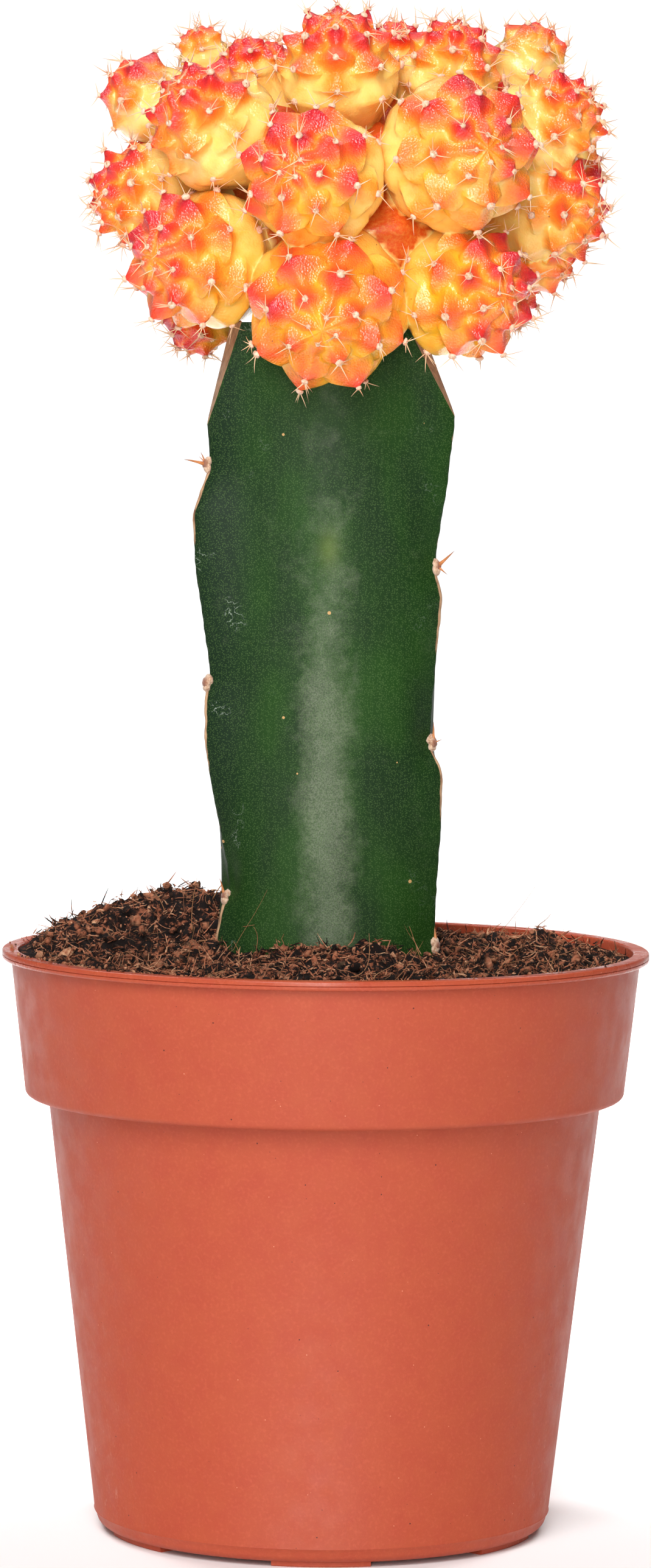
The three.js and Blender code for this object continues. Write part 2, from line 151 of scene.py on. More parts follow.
# %% Camera
CAMERA_AT = (-0.2, -800.0, 154.6)
CAMERA_AIM = (-0.2, 0.0, 98.3)
CAMERA_ROLL = math.radians(0.45)
FRAME_HEIGHT_PX = 2576
FOCAL_PX = 10044
SENSOR_MM = 36.0


def aimed(place, aim, roll=0.0):
    """The transform of a lamp or camera at a place, in millimetres, looking at a point."""
    place, aim = Vector(place) * MM, Vector(aim) * MM
    turn = (aim - place).to_track_quat("-Z", "Y").to_matrix().to_4x4()
    return Matrix.Translation(place) @ turn @ Matrix.Rotation(roll, 4, "Z")


lens = bpy.data.cameras.new("camera")
lens.sensor_fit = "VERTICAL"
lens.sensor_height = SENSOR_MM
lens.lens = FOCAL_PX / FRAME_HEIGHT_PX * SENSOR_MM
lens.clip_start = 0.01
camera = shown("camera", lens)
camera.matrix_world = aimed(CAMERA_AT, CAMERA_AIM, CAMERA_ROLL)
bpy.context.scene.camera = camera
print(f"lens {lens.lens:.1f} mm")

# %% [markdown]
# ## The light
#
# A small plant is usually lit in a white tent: soft light from all sides, a larger and
# brighter one in front and above, and a pale ground. A sky texture would give the same
# softness, but area lamps give the long soft highlights that show wax and plastic. The
# standard view transform keeps reds and yellows as full as they are on the plant.

# %% Lamps, floor and sky
PLANT, GROUND_BEHIND = (0, 0, 120), (0, 420, 0)
GROUND_FAR, WALL_BEHIND = (0, 1000, 0), (0, 1600, 180)
LAMPS = {
    # name: place, what it looks at, width and height in millimetres, watts, degrees of spread
    "key": ((-170, -820, 760), PLANT, (520, 520), 9.0, 180),
    "front": ((-60, -1100, 240), PLANT, (240, 640), 7.0, 180),
    "top": ((0, 260, 950), PLANT, (900, 600), 1.8, 180),
    "left": ((-950, -300, 300), PLANT, (420, 900), 0.2, 180),
    "right": ((950, -300, 300), PLANT, (420, 900), 0.2, 180),
    "left_wash": ((-420, 420, 760), GROUND_BEHIND, (300, 300), 1.7, 70),
    "right_wash": ((420, 420, 760), GROUND_BEHIND, (300, 300), 1.7, 70),
    "far_wash": ((0, 950, 900), GROUND_FAR, (400, 300), 1.6, 80),
    "wall_wash": ((0, 900, 720), WALL_BEHIND, (500, 300), 2.6, 120),
}
SKY_STRENGTH = 0.05

for name, (place, target, (width, height), watts, spread) in LAMPS.items():
    lamp = bpy.data.lights.new(name, "AREA")
    lamp.shape = "RECTANGLE"
    lamp.size, lamp.size_y, lamp.energy = width * MM, height * MM, watts
    lamp.spread = math.radians(spread)
    shown(name, lamp).matrix_world = aimed(place, target)

sky = bpy.data.worlds.new("sky")
sky.use_nodes = True
background = sky.node_tree.nodes["Background"].inputs
background["Color"].default_value = (1, 1, 1, 1)
background["Strength"].default_value = SKY_STRENGTH
bpy.context.scene.world = sky
bpy.context.scene.view_settings.view_transform = "Standard"

# %% [markdown]
# ## Writing materials
#
# Every finish here is made of nodes and needs no picture. Nodes can be placed by hand in
# the shader editor, but a small class with one short call for each kind of node keeps a
# material to a few lines that read like its recipe. Colours are given as they look on a
# screen, and sizes in millimetres.

# %% Material helpers
COLOUR_A, COLOUR_B, COLOUR_OUT = 6, 7, 2  # the colour sockets of a mix node


def colour(red, green, blue):
    """A colour as picked on a screen, from 0 to 255, in Blender's linear numbers."""
    def linear(c):
        c = c / 255
        return c / 12.92 if c <= 0.04045 else ((c + 0.055) / 1.055) ** 2.4
    return (linear(red), linear(green), linear(blue), 1.0)


class Finish:
    """A material whose nodes are added and joined by short calls."""

    def __init__(self, name, **constants):
        self.material = bpy.data.materials.new(name)
        self.material.use_nodes = True
        self.tree = self.material.node_tree
        self.surface = self.tree.nodes["Principled BSDF"]
        for socket, value in constants.items():
            self.surface.inputs[socket.replace("_", " ")].default_value = value

    def join(self, value, socket):
        """Feeds a socket from an output, or sets it to a plain value."""
        if isinstance(value, bpy.types.NodeSocket):
            self.tree.links.new(value, socket)
        elif value is not None:
            socket.default_value = value

    def node(self, kind, output=0, **inputs):
        """Adds a node with its inputs given, and returns one of its outputs."""
        made = self.tree.nodes.new("ShaderNode" + kind)
        for name, value in inputs.items():
            self.join(value, made.inputs[name.replace("_", " ")])
        return made.outputs[output]

    def place(self, stretch=(1, 1, 1)):
        """Coordinates in millimetres, stretched along each axis."""
        place = self.node("TexCoord", "Object")
        return self.node("Mapping", Vector=place, Scale=tuple(s / MM for s in stretch))

    def noise(self, size, detail=2.0, roughness=0.5, stretch=(1, 1, 1)):
        """Soft noise from 0 to 1 with lumps about `size` millimetres across."""
        return self.node(
            "TexNoise", "Fac", Vector=self.place(stretch), Scale=1 / size,
            Detail=detail, Roughness=roughness,
        )

    def cells(self, size, output="Distance", randomness=1.0):
        """How far the nearest of many scattered dots is, or the colour drawn for that dot."""
        return self.node(
            "TexVoronoi", output, Vector=self.place(), Scale=1 / size, Randomness=randomness
        )

    def value(self, name):
        """A number that the mesh stores at each point."""
        stored = self.node("Attribute", "Fac")
        stored.node.attribute_name = name
        return stored

    def math(self, operation, a, b=None, clamp=False):
        """One sum with a node's output, or with two."""
        made = self.tree.nodes.new("ShaderNodeMath")
        made.operation, made.use_clamp = operation, clamp
        self.join(a, made.inputs[0])
        self.join(b, made.inputs[1])
        return made.outputs[0]

    def times(self, a, b, clamp=False):
        return self.math("MULTIPLY", a, b, clamp)

    def plus(self, a, b, clamp=False):
        return self.math("ADD", a, b, clamp)

    def between(self, value, low, high, out_low=0.0, out_high=1.0):
        """Maps a range of a value smoothly onto another, and holds its ends."""
        made = self.tree.nodes.new("ShaderNodeMapRange")
        made.interpolation_type = "SMOOTHSTEP"
        for socket, given in zip(made.inputs, (value, low, high, out_low, out_high)):
            self.join(given, socket)
        return made.outputs[0]

    def mix(self, share, first, second):
        """A share of the way from the first colour to the second."""
        made = self.tree.nodes.new("ShaderNodeMix")
        made.data_type = "RGBA"
        self.join(share, made.inputs["Factor"])
        self.join(first, made.inputs[COLOUR_A])
        self.join(second, made.inputs[COLOUR_B])
        return made.outputs[COLOUR_OUT]

    def bump(self, height, distance, strength=1.0, normal=None):
        """Relief `distance` millimetres high."""
        height_m = distance * MM
        return self.node("Bump", Height=height, Distance=height_m, Strength=strength, Normal=normal)

    def set(self, **outputs):
        for socket, value in outputs.items():
            self.join(value, self.surface.inputs[socket.replace("_", " ")])

# %% [markdown]
# ## The pot
#
# The pot is a thin polypropylene shell from an injection mould: a rolled lip, a tall collar
# that lets pots stack, a step, a tapered body and six low feet that let water drain away.
# It could be spun with a Screw modifier. Turning a profile of named sizes in code does the
# same and keeps every radius where the solid has it.

# %% Sizes of the pot
_, pot_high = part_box("pot")
RIM_RADIUS, _, POT_HEIGHT = np.array(pot_high) / MM
WALL = 0.9
LIP_HEIGHT, LIP_OVERHANG, LIP_ROUND = 1.2, 1.2, 0.28
CREASE_AT, CREASE_DEPTH, CREASE_HALF = 0.45, 0.14, 0.06  # the fine line round the lip
COLLAR_HEIGHT, COLLAR_DRAFT, COLLAR_ROUND, STEP = 19.2, 1.9, 0.8, 3.1
BASE_RADIUS, BASE_ROUND, FOOT_HEIGHT = 29.7, 1.3, 0.7
FEET, FOOT_SPREAD, FOOT_WIDTH, FOOT_EDGE = 6, math.radians(13), 4.0, 0.15
SEAM_HEIGHT, SEAM_RISE, SEAM_HALF = 2.6, 0.07, 0.12  # the fine line that the mould leaves
FILLET = 0.5
DRAIN_RADIUS, DRAIN_RING, DRAIN_SIDES = 2.6, 17.0, 40
POT_SIDES = 192

COLLAR_TOP = RIM_RADIUS - LIP_OVERHANG
COLLAR_BOTTOM = COLLAR_TOP - COLLAR_DRAFT
BODY_TOP = COLLAR_BOTTOM - STEP
STEP_HEIGHT = POT_HEIGHT - COLLAR_HEIGHT
FLOOR_TOP = FOOT_HEIGHT + WALL
print(f"rim {RIM_RADIUS:.1f}, step at {STEP_HEIGHT:.1f}, base {BASE_RADIUS:.1f}")

# %% Turning a profile
def arc(radius, height, round_, start, end, steps=6):
    """Profile points on an arc between two angles in degrees."""
    angles = np.radians(np.linspace(start, end, steps + 1))
    return [(radius + round_ * math.cos(a), height + round_ * math.sin(a)) for a in angles]


def polar(radius, turn, height):
    """Points at a radius and a turn about the upright axis, and at a height."""
    return np.stack((radius * np.cos(turn), radius * np.sin(turn), height), axis=-1)


def closed_faces(rings, count, downward=False):
    """Quads between rings, and fans that close the first and the last ring with two end
    points, which are numbered after all rings. Rings may run up or down the form."""
    faces = ring_faces(rings, count)
    if downward:
        faces = [tuple(reversed(face)) for face in faces]
    end, last = rings * count, (rings - 1) * count
    for k in range(count):
        a, b = (k, (k + 1) % count) if downward else ((k + 1) % count, k)
        faces += [(end, a, b), (end + 1, last + b, last + a)]
    return faces


def turned(profile, sides):
    """Points and faces of a profile of (radius, height) turned about the upright axis.

    The profile starts and ends on the axis."""
    turns = np.linspace(0, 2 * math.pi, sides, endpoint=False)
    rings = [polar(r, turns, np.full(sides, z)) for r, z in profile[1:-1]]
    points = np.vstack(rings + [[(0, 0, profile[0][1])], [(0, 0, profile[-1][1])]])
    return points, closed_faces(len(rings), sides)


def plain_object(name, points, faces):
    """An object that only takes part in joining or cutting, and is removed after it."""
    return bpy.data.objects.new(name, mesh_of(name, points, faces))


# %% Joining and cutting
def combine(piece, others, operation):
    """Joins other closed objects to a piece, or cuts them out of it, and removes them."""
    tools = bpy.data.collections.new("tools")
    bpy.context.scene.collection.children.link(tools)
    for other in others:
        tools.objects.link(other)
    boolean = piece.modifiers.new(operation, "BOOLEAN")
    boolean.operand_type, boolean.collection = "COLLECTION", tools
    boolean.operation, boolean.solver = operation, "MANIFOLD"
    bpy.context.view_layer.update()
    seen = piece.evaluated_get(bpy.context.evaluated_depsgraph_get())
    made = bpy.data.meshes.new_from_object(seen)
    piece.modifiers.remove(boolean)
    old, piece.data = piece.data, made
    bpy.data.meshes.remove(old)
    for other in others:
        bpy.data.meshes.remove(other.data)
    bpy.data.collections.remove(tools)
    print(f"{operation.lower()}: {len(made.polygons)} faces")


# %% Feet and drainage holes
def foot_block(angle):
    """A low pad under the base, centred on an angle."""
    outer, inner = BASE_RADIUS - BASE_ROUND, BASE_RADIUS - BASE_ROUND - FOOT_WIDTH
    points, sections, buried = [], 9, FLOOR_TOP - WALL / 2
    for turn in np.linspace(angle - FOOT_SPREAD, angle + FOOT_SPREAD, sections):
        outline = [
            (inner, buried), (inner, FOOT_EDGE), (inner + FOOT_EDGE, 0),
            (outer - FOOT_EDGE, 0), (outer, FOOT_EDGE), (outer, buried),
        ]
        points += [(r * math.cos(turn), r * math.sin(turn), z) for r, z in outline]
    count = len(outline)
    faces = [tuple(range(count)), tuple(reversed(range(len(points) - count, len(points))))]
    faces += [tuple(reversed(face)) for face in ring_faces(sections, count)]
    return plain_object("foot", points, faces)


def drain_block(angle):
    """What a drainage hole takes out of the pot's floor."""
    far = 4 * FLOOR_TOP
    outline = [(0, -far), (DRAIN_RADIUS, -far), (DRAIN_RADIUS, far), (0, far)]
    points, faces = turned(outline, DRAIN_SIDES)
    points += (DRAIN_RING * math.cos(angle), DRAIN_RING * math.sin(angle), 0)
    return plain_object("drain", points, faces)


# %% [markdown]
# ### Satin terracotta plastic
#
# The plastic is coloured through and pigmented to look like baked clay. Its skin is satin,
# with fine dark and pale specks of pigment, a faint mottle, and whitish rub marks low down
# where pots slide in and out of each other. Roughness alone would look like paint, so a
# fine grain breaks up the highlights too.

# %% Pot finish
POT_COLOUR, POT_SHADE, POT_GRAIN = colour(173, 77, 50), colour(170, 71, 49), colour(194, 93, 66)
POT_SPECK, POT_PALE_SPECK = colour(92, 42, 34), colour(214, 140, 112)
POT_SCUFF = colour(206, 164, 150)
SPECKS = (  # how far apart, how wide, what colour, and the share of places left empty
    (2.3, 0.045, POT_SPECK, 0.5),
    (1.1, 0.05, POT_SPECK, 0.72),
    (1.7, 0.04, POT_PALE_SPECK, 0.66),
)


def pot_finish():
    plastic = Finish("pot_plastic", Roughness=0.55, IOR=1.46, Specular_IOR_Level=0.3)
    mottle = plastic.between(plastic.noise(4, detail=5, roughness=0.7), 0.3, 0.75)
    shade = plastic.mix(mottle, POT_COLOUR, POT_SHADE)
    grain = plastic.between(plastic.noise(0.42), 0.45, 0.8)
    shade = plastic.mix(plastic.times(grain, 0.35), shade, POT_GRAIN)
    for apart, width, tint, empty in SPECKS:
        dot = plastic.math("LESS_THAN", plastic.cells(apart), width)
        chosen = plastic.math("GREATER_THAN", plastic.cells(apart, "Color"), empty)
        shade = plastic.mix(plastic.times(dot, chosen), shade, tint)
    scratched = plastic.between(plastic.noise(0.9, 6, 0.8, stretch=(1, 1, 0.5)), 0.56, 0.72)
    rubbed = plastic.times(plastic.value("rubbed"), scratched)
    shade = plastic.mix(plastic.times(rubbed, 0.45), shade, POT_SCUFF)
    satin = plastic.between(plastic.noise(3, 5), 0.3, 0.7, 0.48, 0.62)
    polish = plastic.times(plastic.value("polished"), 0.26)
    orange_peel = plastic.bump(plastic.noise(1.1), 0.03, 0.5)
    relief = plastic.bump(plastic.noise(0.26, 3), 0.018, 0.9, normal=orange_peel)
    rough = plastic.math("SUBTRACT", satin, polish)
    plastic.set(Base_Color=shade, Roughness=rough, Normal=relief)
    return plastic.material


# %% Turn the pot
LIP_LOW = POT_HEIGHT - LIP_HEIGHT


def pot_profile():
    """The pot's section: up its outside, over the lip, and down its inside to the floor."""
    base, collar = BASE_RADIUS - BASE_ROUND, COLLAR_BOTTOM - COLLAR_ROUND
    lip, lip_top = RIM_RADIUS - LIP_ROUND, POT_HEIGHT - LIP_ROUND
    seam = BASE_RADIUS + (BODY_TOP - BASE_RADIUS) * (SEAM_HEIGHT / STEP_HEIGHT)
    crease = LIP_LOW + CREASE_AT * LIP_HEIGHT
    return [
        (0, FOOT_HEIGHT),
        *arc(base, FOOT_HEIGHT + BASE_ROUND, BASE_ROUND, -90, 0),
        (seam, SEAM_HEIGHT - SEAM_HALF),
        (seam + SEAM_RISE, SEAM_HEIGHT),
        (seam, SEAM_HEIGHT + SEAM_HALF),
        *arc(BODY_TOP + FILLET, STEP_HEIGHT - FILLET, -FILLET, 0, -90, 3),
        *arc(collar, STEP_HEIGHT + COLLAR_ROUND, COLLAR_ROUND, -90, 0),
        (COLLAR_TOP - 0.02, LIP_LOW - 0.15),
        (COLLAR_TOP + 0.15, LIP_LOW),
        *arc(lip, LIP_LOW + LIP_ROUND, LIP_ROUND, -90, 0, 4),
        (RIM_RADIUS, crease - CREASE_HALF),
        (RIM_RADIUS - CREASE_DEPTH, crease),
        (RIM_RADIUS, crease + CREASE_HALF),
        *arc(lip, lip_top, LIP_ROUND, 0, 90, 4),
        *arc(COLLAR_TOP - WALL + LIP_ROUND, lip_top, LIP_ROUND, 90, 180, 4),
        (COLLAR_BOTTOM - WALL, STEP_HEIGHT + WALL + 0.1),
        (BODY_TOP - WALL, STEP_HEIGHT + WALL - 0.1),
        (BASE_RADIUS - WALL, FLOOR_TOP),
        (0, FLOOR_TOP),
    ]


def read(items, name):
    """A mesh's points, or the middles or normals of its faces, as an array."""
    values = np.empty(3 * len(items))
    items.foreach_get(name, values)
    return values.reshape(-1, 3)


pot = add_piece("pot_shell", *turned(pot_profile(), POT_SIDES), pot_finish())
pitch = 2 * math.pi / FEET
places = [i * pitch - math.pi / 2 for i in range(FEET)]
combine(pot, [foot_block(angle) for angle in places], "UNION")
combine(pot, [drain_block(angle + pitch / 2) for angle in places], "DIFFERENCE")
pot.data.set_sharp_from_angle(angle=math.radians(38))

around = read(pot.data.vertices, "co") / MM
side, height = np.abs(around[:, 0]) / BASE_RADIUS, around[:, 2]
set_value(pot, "rubbed", smoothstep(0.72, 0.95, side) * (1 - smoothstep(4, 16, height)))
set_value(pot, "polished", smoothstep(LIP_LOW - 0.3, LIP_LOW + 0.1, height))

# %% [markdown]
# ## The rootstock
#
# The rootstock is a cutting of a three-ribbed climbing cactus. Seen from above it is a round
# core with three thin ribs, and each rib has a notch with a woolly pad, an areole, every
# 25 mm or so, and swells again below it. Extruding a star would lose the notches, so the
# skin is a grid of points: the height gives each rib's reach, and the angle gives how far
# along the way from rib to rib a point lies.

# %% Form of the rootstock
STOCK_TOP, STOCK_FOOT = 158.6, 48.0
FACE_MIDDLE, RIB_REACH = 11.6, 17.0  # how far a face's middle and a rib are from the axis
NOTCH_REACH = 11  # degrees to either side that a rib's notches are felt
RIB_ANGLES = (206, 334, 90)
STOCK_FACES = [  # the angle where each face starts, and how far it goes round
    (start, (RIB_ANGLES[(rib + 1) % 3] - start) % 360) for rib, start in enumerate(RIB_ANGLES)
]
TIP_ROUND = 1.3  # degrees over which a rib's edge is rounded
RIB_EDGES = (  # heights down each rib, and how far its edge is from the axis there
    ((159, 18.6), (146, 17.9), (141.5, 17.6), (139, 17.9), (134, 20), (126, 19.4),
     (118, 18), (113, 17.2), (110.5, 18), (104, 18), (97, 16.6), (88, 14.6),
     (85, 14.2), (82.5, 15.4), (78, 16.4), (70, 16.6), (46, 14.4)),
    ((159, 18.6), (146, 18.2), (138, 17.3), (128.5, 15.6), (126, 15.8), (123.5, 16.7),
     (115, 15.8), (105.5, 15.1), (103, 15.5), (100.5, 17), (92, 16.7), (84, 16.1),
     (78.5, 16), (70, 16.8), (46, 15)),
    ((159, 18.8), (150, 18.9), (140, 18), (132, 17), (129.5, 17.2), (127, 18.3),
     (118, 18.6), (109, 17.2), (106.5, 17.4), (104, 18.4), (95, 18), (86, 16.6),
     (83.5, 16.8), (81, 17.6), (70, 17.2), (46, 15)),
)
EDGE_SOFTNESS = 0.9  # millimetres of height over which a notch is rounded
EDGE_SHIFTS, EDGE_WEIGHTS = (-1, -0.5, 0, 0.5, 1), (0.12, 0.23, 0.3, 0.23, 0.12)


# %% Surface of the rootstock
def edge_radius(rib, z):
    """How far a rib's edge is from the axis at a height, with its notches rounded."""
    heights, reach = np.array(RIB_EDGES[rib])[::-1].T
    samples = [np.interp(z + shift * EDGE_SOFTNESS, heights, reach) for shift in EDGE_SHIFTS]
    return np.tensordot(EDGE_WEIGHTS, samples, 1)


def stock_surface(angle, z):
    """The radius, and how many millimetres away the nearest rib's edge is."""
    angle, z = np.broadcast_arrays(np.asarray(angle, float) % 360, np.asarray(z, float))
    radius, away = np.zeros(angle.shape), np.zeros(angle.shape)
    for rib, (start, sweep) in enumerate(STOCK_FACES):
        along = (angle - start) % 360 / sweep
        step = along * 120
        past = np.minimum(step, 120 - step)
        edge = np.where(step < 60, edge_radius(rib, z), edge_radius((rib + 1) % 3, z))
        turn = np.radians(sweep / 2 * (1 - np.hypot(past, TIP_ROUND) / 60))
        gap = FACE_MIDDLE - RIB_REACH * math.cos(math.radians(sweep / 2))
        back = (RIB_REACH**2 - FACE_MIDDLE**2) / 2 / gap
        bow = FACE_MIDDLE + back
        bowed = np.sqrt(bow**2 - (back * np.sin(turn)) ** 2) - back * np.cos(turn)
        blend = bowed * (1 + (edge / RIB_REACH - 1) * np.exp(-((past / NOTCH_REACH) ** 2)))
        radius = np.where(along < 1, blend, radius)
        away = np.where(along < 1, np.radians(past) * edge, away)
    return radius, away


# %% Cuts at the ribs' ends
SHAVED = ((144.8, 4.2, -17), (146.2, 6.2, 17), (145.2, 5.0, 0))  # from where, how deep, turned


def direction(degrees, up=0.0):
    """The way out from the upright axis at an angle, with a rise."""
    return np.array((math.cos(math.radians(degrees)), math.sin(math.radians(degrees)), up))


def cut_plane(rib):
    """A point of the cut that shaved a rib's top end, and the way the cut faces."""
    start, depth, aside = SHAVED[rib]
    angle = RIB_ANGLES[rib] + aside
    reach = edge_radius(rib, start) * math.cos(math.radians(aside))
    face = unit(direction(angle, depth / (STOCK_TOP - start)))
    return direction(angle) * reach + (0, 0, start), face


def cut_block(rib, size=30.0):
    """The block that is taken away from a rib's top end."""
    place, face = cut_plane(rib)
    across = unit(np.cross((0, 0, 1), face))
    up = np.cross(face, across)
    corners = [
        place + across * i * size + up * j * size + face * k * size
        for k in (0, 1) for i, j in ((-1, 0), (1, 0), (1, 1), (-1, 1))
    ]
    faces = [(3, 2, 1, 0), (4, 5, 6, 7), (0, 1, 5, 4), (1, 2, 6, 5), (2, 3, 7, 6), (3, 0, 4, 7)]
    return plain_object("cut", corners, faces)


# %% [markdown]
# ### Waxy green skin
#
# The skin is dark green under a thin grey bloom of wax. A pale grey-green band down the middle of
# each face is partly that wax and partly a painted highlight, and it fades upward as painted shade
# under the scion. The outer parts of the faces are darker and greyer towards the ribs, and darker
# still on the left as painted shade. The ribs' edges cork over below the areoles, and the shaved
# ends have dried to tan. All this could be painted on an unwrapped mesh. Here values stored at the
# points say where each layer lies, and noise frays its edges, so nothing has to be unwrapped.

# %% Waxy rootstock skin
STOCK_GREEN, STOCK_DEEP, STOCK_GREY_AND_SHADE = colour(26, 62, 10), colour(18, 44, 14), colour(14, 38, 16)
STOCK_WAX_AND_HIGHLIGHT, STOCK_YOUNG = colour(126, 134, 108), colour(86, 104, 40)
STOCK_SPECK, STOCK_DOT = colour(92, 124, 66), colour(190, 150, 96)
STOCK_SCAR, STOCK_CRACK = colour(150, 164, 146), colour(112, 74, 58)
STOCK_CORK, STOCK_DRIED = colour(206, 170, 132), colour(168, 126, 96)


def stock_finish():
    skin = Finish("rootstock_skin", Roughness=0.55, Specular_IOR_Level=0.16, Coat_Roughness=0.36)
    patch = skin.between(skin.noise(9, 3, stretch=(1, 1, 0.5)), 0.38, 0.66)
    green = skin.mix(patch, STOCK_GREEN, STOCK_DEEP)
    # the outer parts of the faces darken towards the ribs, and on the left more, as painted shade
    green = skin.mix(skin.times(skin.value("outer"), 0.55, clamp=True), green, STOCK_GREY_AND_SHADE)
    blotch = skin.between(skin.noise(5, 4, 0.65, stretch=(1, 1, 0.8)), 0.3, 0.7, -0.24, 0.24)
    ripple = skin.between(skin.noise(1.1, 4, 0.7, stretch=(0.8, 0.8, 1)), 0.3, 0.7, -0.12, 0.12)
    fine_breakup = skin.between(skin.noise(0.2, 2, 0.7), 0.35, 0.65, 0.4, 1.0)
    uneven = skin.plus(skin.plus(blotch, ripple), skin.value("bloom"))
    bloom = skin.times(skin.between(uneven, 0.12, 1.2), fine_breakup)
    # the pale band down each face's middle: partly wax, partly a painted highlight
    green = skin.mix(skin.times(bloom, 0.57), green, STOCK_WAX_AND_HIGHLIGHT)
    green = skin.mix(skin.times(skin.value("young"), 0.7), green, STOCK_YOUNG)
    speck = skin.between(skin.cells(0.21, randomness=0.8), 0.5, 0.14)
    green = skin.mix(skin.times(speck, 0.36), green, STOCK_SPECK)
    ridge = skin.math("ABSOLUTE", skin.math("SUBTRACT", skin.noise(1.7, 3, 0.6), 0.5))
    hairline = skin.math("LESS_THAN", ridge, 0.012)
    where = skin.between(skin.noise(5.5), 0.6, 0.68)
    scar = skin.times(skin.times(hairline, where), skin.value("outer"))
    green = skin.mix(skin.times(scar, 0.35), green, STOCK_SCAR)
    green = skin.mix(skin.math("LESS_THAN", skin.cells(5.2), 0.045), green, STOCK_DOT)
    frayed = skin.plus(skin.value("margin"), skin.times(skin.noise(2.2, 4), 0.7))
    dry = skin.math("MAXIMUM", skin.between(frayed, 0.9, 1.05), skin.value("shaved"))
    tone = skin.mix(dry, green, skin.mix(skin.noise(0.8, 4), STOCK_CORK, STOCK_DRIED))
    cracked = skin.between(skin.noise(0.5, 4, stretch=(1, 1, 0.2)), 0.45, 0.7)
    tone = skin.mix(cracked, tone, skin.mix(dry, tone, STOCK_CRACK))
    fine = skin.bump(skin.plus(skin.times(speck, 0.35), skin.noise(0.6, 3)), 0.05, 0.5)
    broad = skin.bump(skin.noise(7, stretch=(1, 1, 0.7)), 0.5, 0.35, normal=fine)
    wax = skin.plus(skin.times(bloom, 0.25), 0.03)
    skin.set(Base_Color=tone, Normal=broad, Coat_Weight=wax)
    return skin.material


# %% Where the layers of the skin lie
CORKED = 13  # millimetres of a rib's edge that cork over below each areole
LEFT_GREY_AND_SHADE, RIGHT_GREY_AND_SHADE = 1.9, 0.5  # how much the outer part of a face greys and darkens on either side, the left more as painted shade
STOCK_AREOLES = ((140.2, 111.8, 83.9), (127.2, 104.2, 77.8), (130.8, 107.8, 84.8))


def degrees_apart(angle, other):
    return np.abs((angle - other + 180) % 360 - 180)


def from_middle(angle):
    """Degrees from the middle of the nearest face."""
    middles = [start + sweep / 2 for start, sweep in STOCK_FACES]
    return np.min([degrees_apart(angle, middle) for middle in middles], axis=0)


def mark_shaved(skin):
    """Marks the flat faces that the cuts at the ribs' ends have left."""
    middle, normal = read(skin.data.polygons, "center") / MM, read(skin.data.polygons, "normal")
    shaved = np.zeros(len(middle))
    for rib in range(len(RIB_ANGLES)):
        on_plane, face = cut_plane(rib)
        flat = np.abs(normal @ face) > 0.999
        shaved[flat & (np.abs((middle - on_plane) @ face) < 0.05)] = 1
    skin.data.attributes.new("shaved", "FLOAT", "FACE").data.foreach_set("value", shaved)
    print(int(shaved.sum()), "faces shaved flat")


def under_areoles(angle, z):
    """Where a rib's edge has corked over: just below each areole, fading downward."""
    share = np.zeros(z.shape)
    for rib, heights in enumerate(STOCK_AREOLES):
        near = degrees_apart(angle, RIB_ANGLES[rib]) < 50
        for areole in heights:
            below = areole - z
            window = smoothstep(-0.6, 0.4, below) * (1 - smoothstep(0.4 * CORKED, CORKED, below))
            share = np.maximum(share, near * window)
    return share


def skin_layers(angle, z, radius, away, edge):
    """How strong each layer of the skin's colour is at each point."""
    left = np.cos(np.radians(angle)) < 0
    outer = smoothstep(FACE_MIDDLE + 0.6, FACE_MIDDLE + 5, radius)
    haze = np.exp(-(((away - 5.5) / 3) ** 2) - (((z - 66) / 6) ** 2))
    face = 1 - smoothstep(2, 30, from_middle(angle))
    return {
        "margin": edge * (0.5 + 0.5 * under_areoles(angle, z)),
        # greyer towards the ribs, and darker on the left as painted shade
        "outer": outer * np.where(left, LEFT_GREY_AND_SHADE, RIGHT_GREY_AND_SHADE),
        # wax and a painted highlight down each face's middle, fading upward as painted shade under
        # the scion
        "bloom": face * (1 - 0.6 * smoothstep(98, 142, z)) + 0.6 * haze,
        "young": np.exp(-((from_middle(angle) / 6) ** 2) - ((z - 129.5) / 2.2) ** 2),
    }


# %% Grow the rootstock
STOCK_LEVELS = 260
FACE_POINTS, CROWDING = 64, 1.7  # from one rib to the next, closer together at the ribs
EDGE_WIDTH, EDGE_ROUGH, FACE_ROUGH = 0.55, 0.16, 0.06  # millimetres
EDGE_LUMPS, FACE_LUMPS = (1.3, 4.0), (6.0, 9.0)  # their size and their seed


def stock_angles():
    """Angles round the stock, closer together towards each rib's edge."""
    even = np.arange(FACE_POINTS) / FACE_POINTS
    first, second = 0.5 * (2 * even) ** CROWDING, 1 - 0.5 * (2 * (1 - even)) ** CROWDING
    crowded = np.where(even < 0.5, first, second)
    return np.concatenate([start + crowded * sweep for start, sweep in STOCK_FACES])


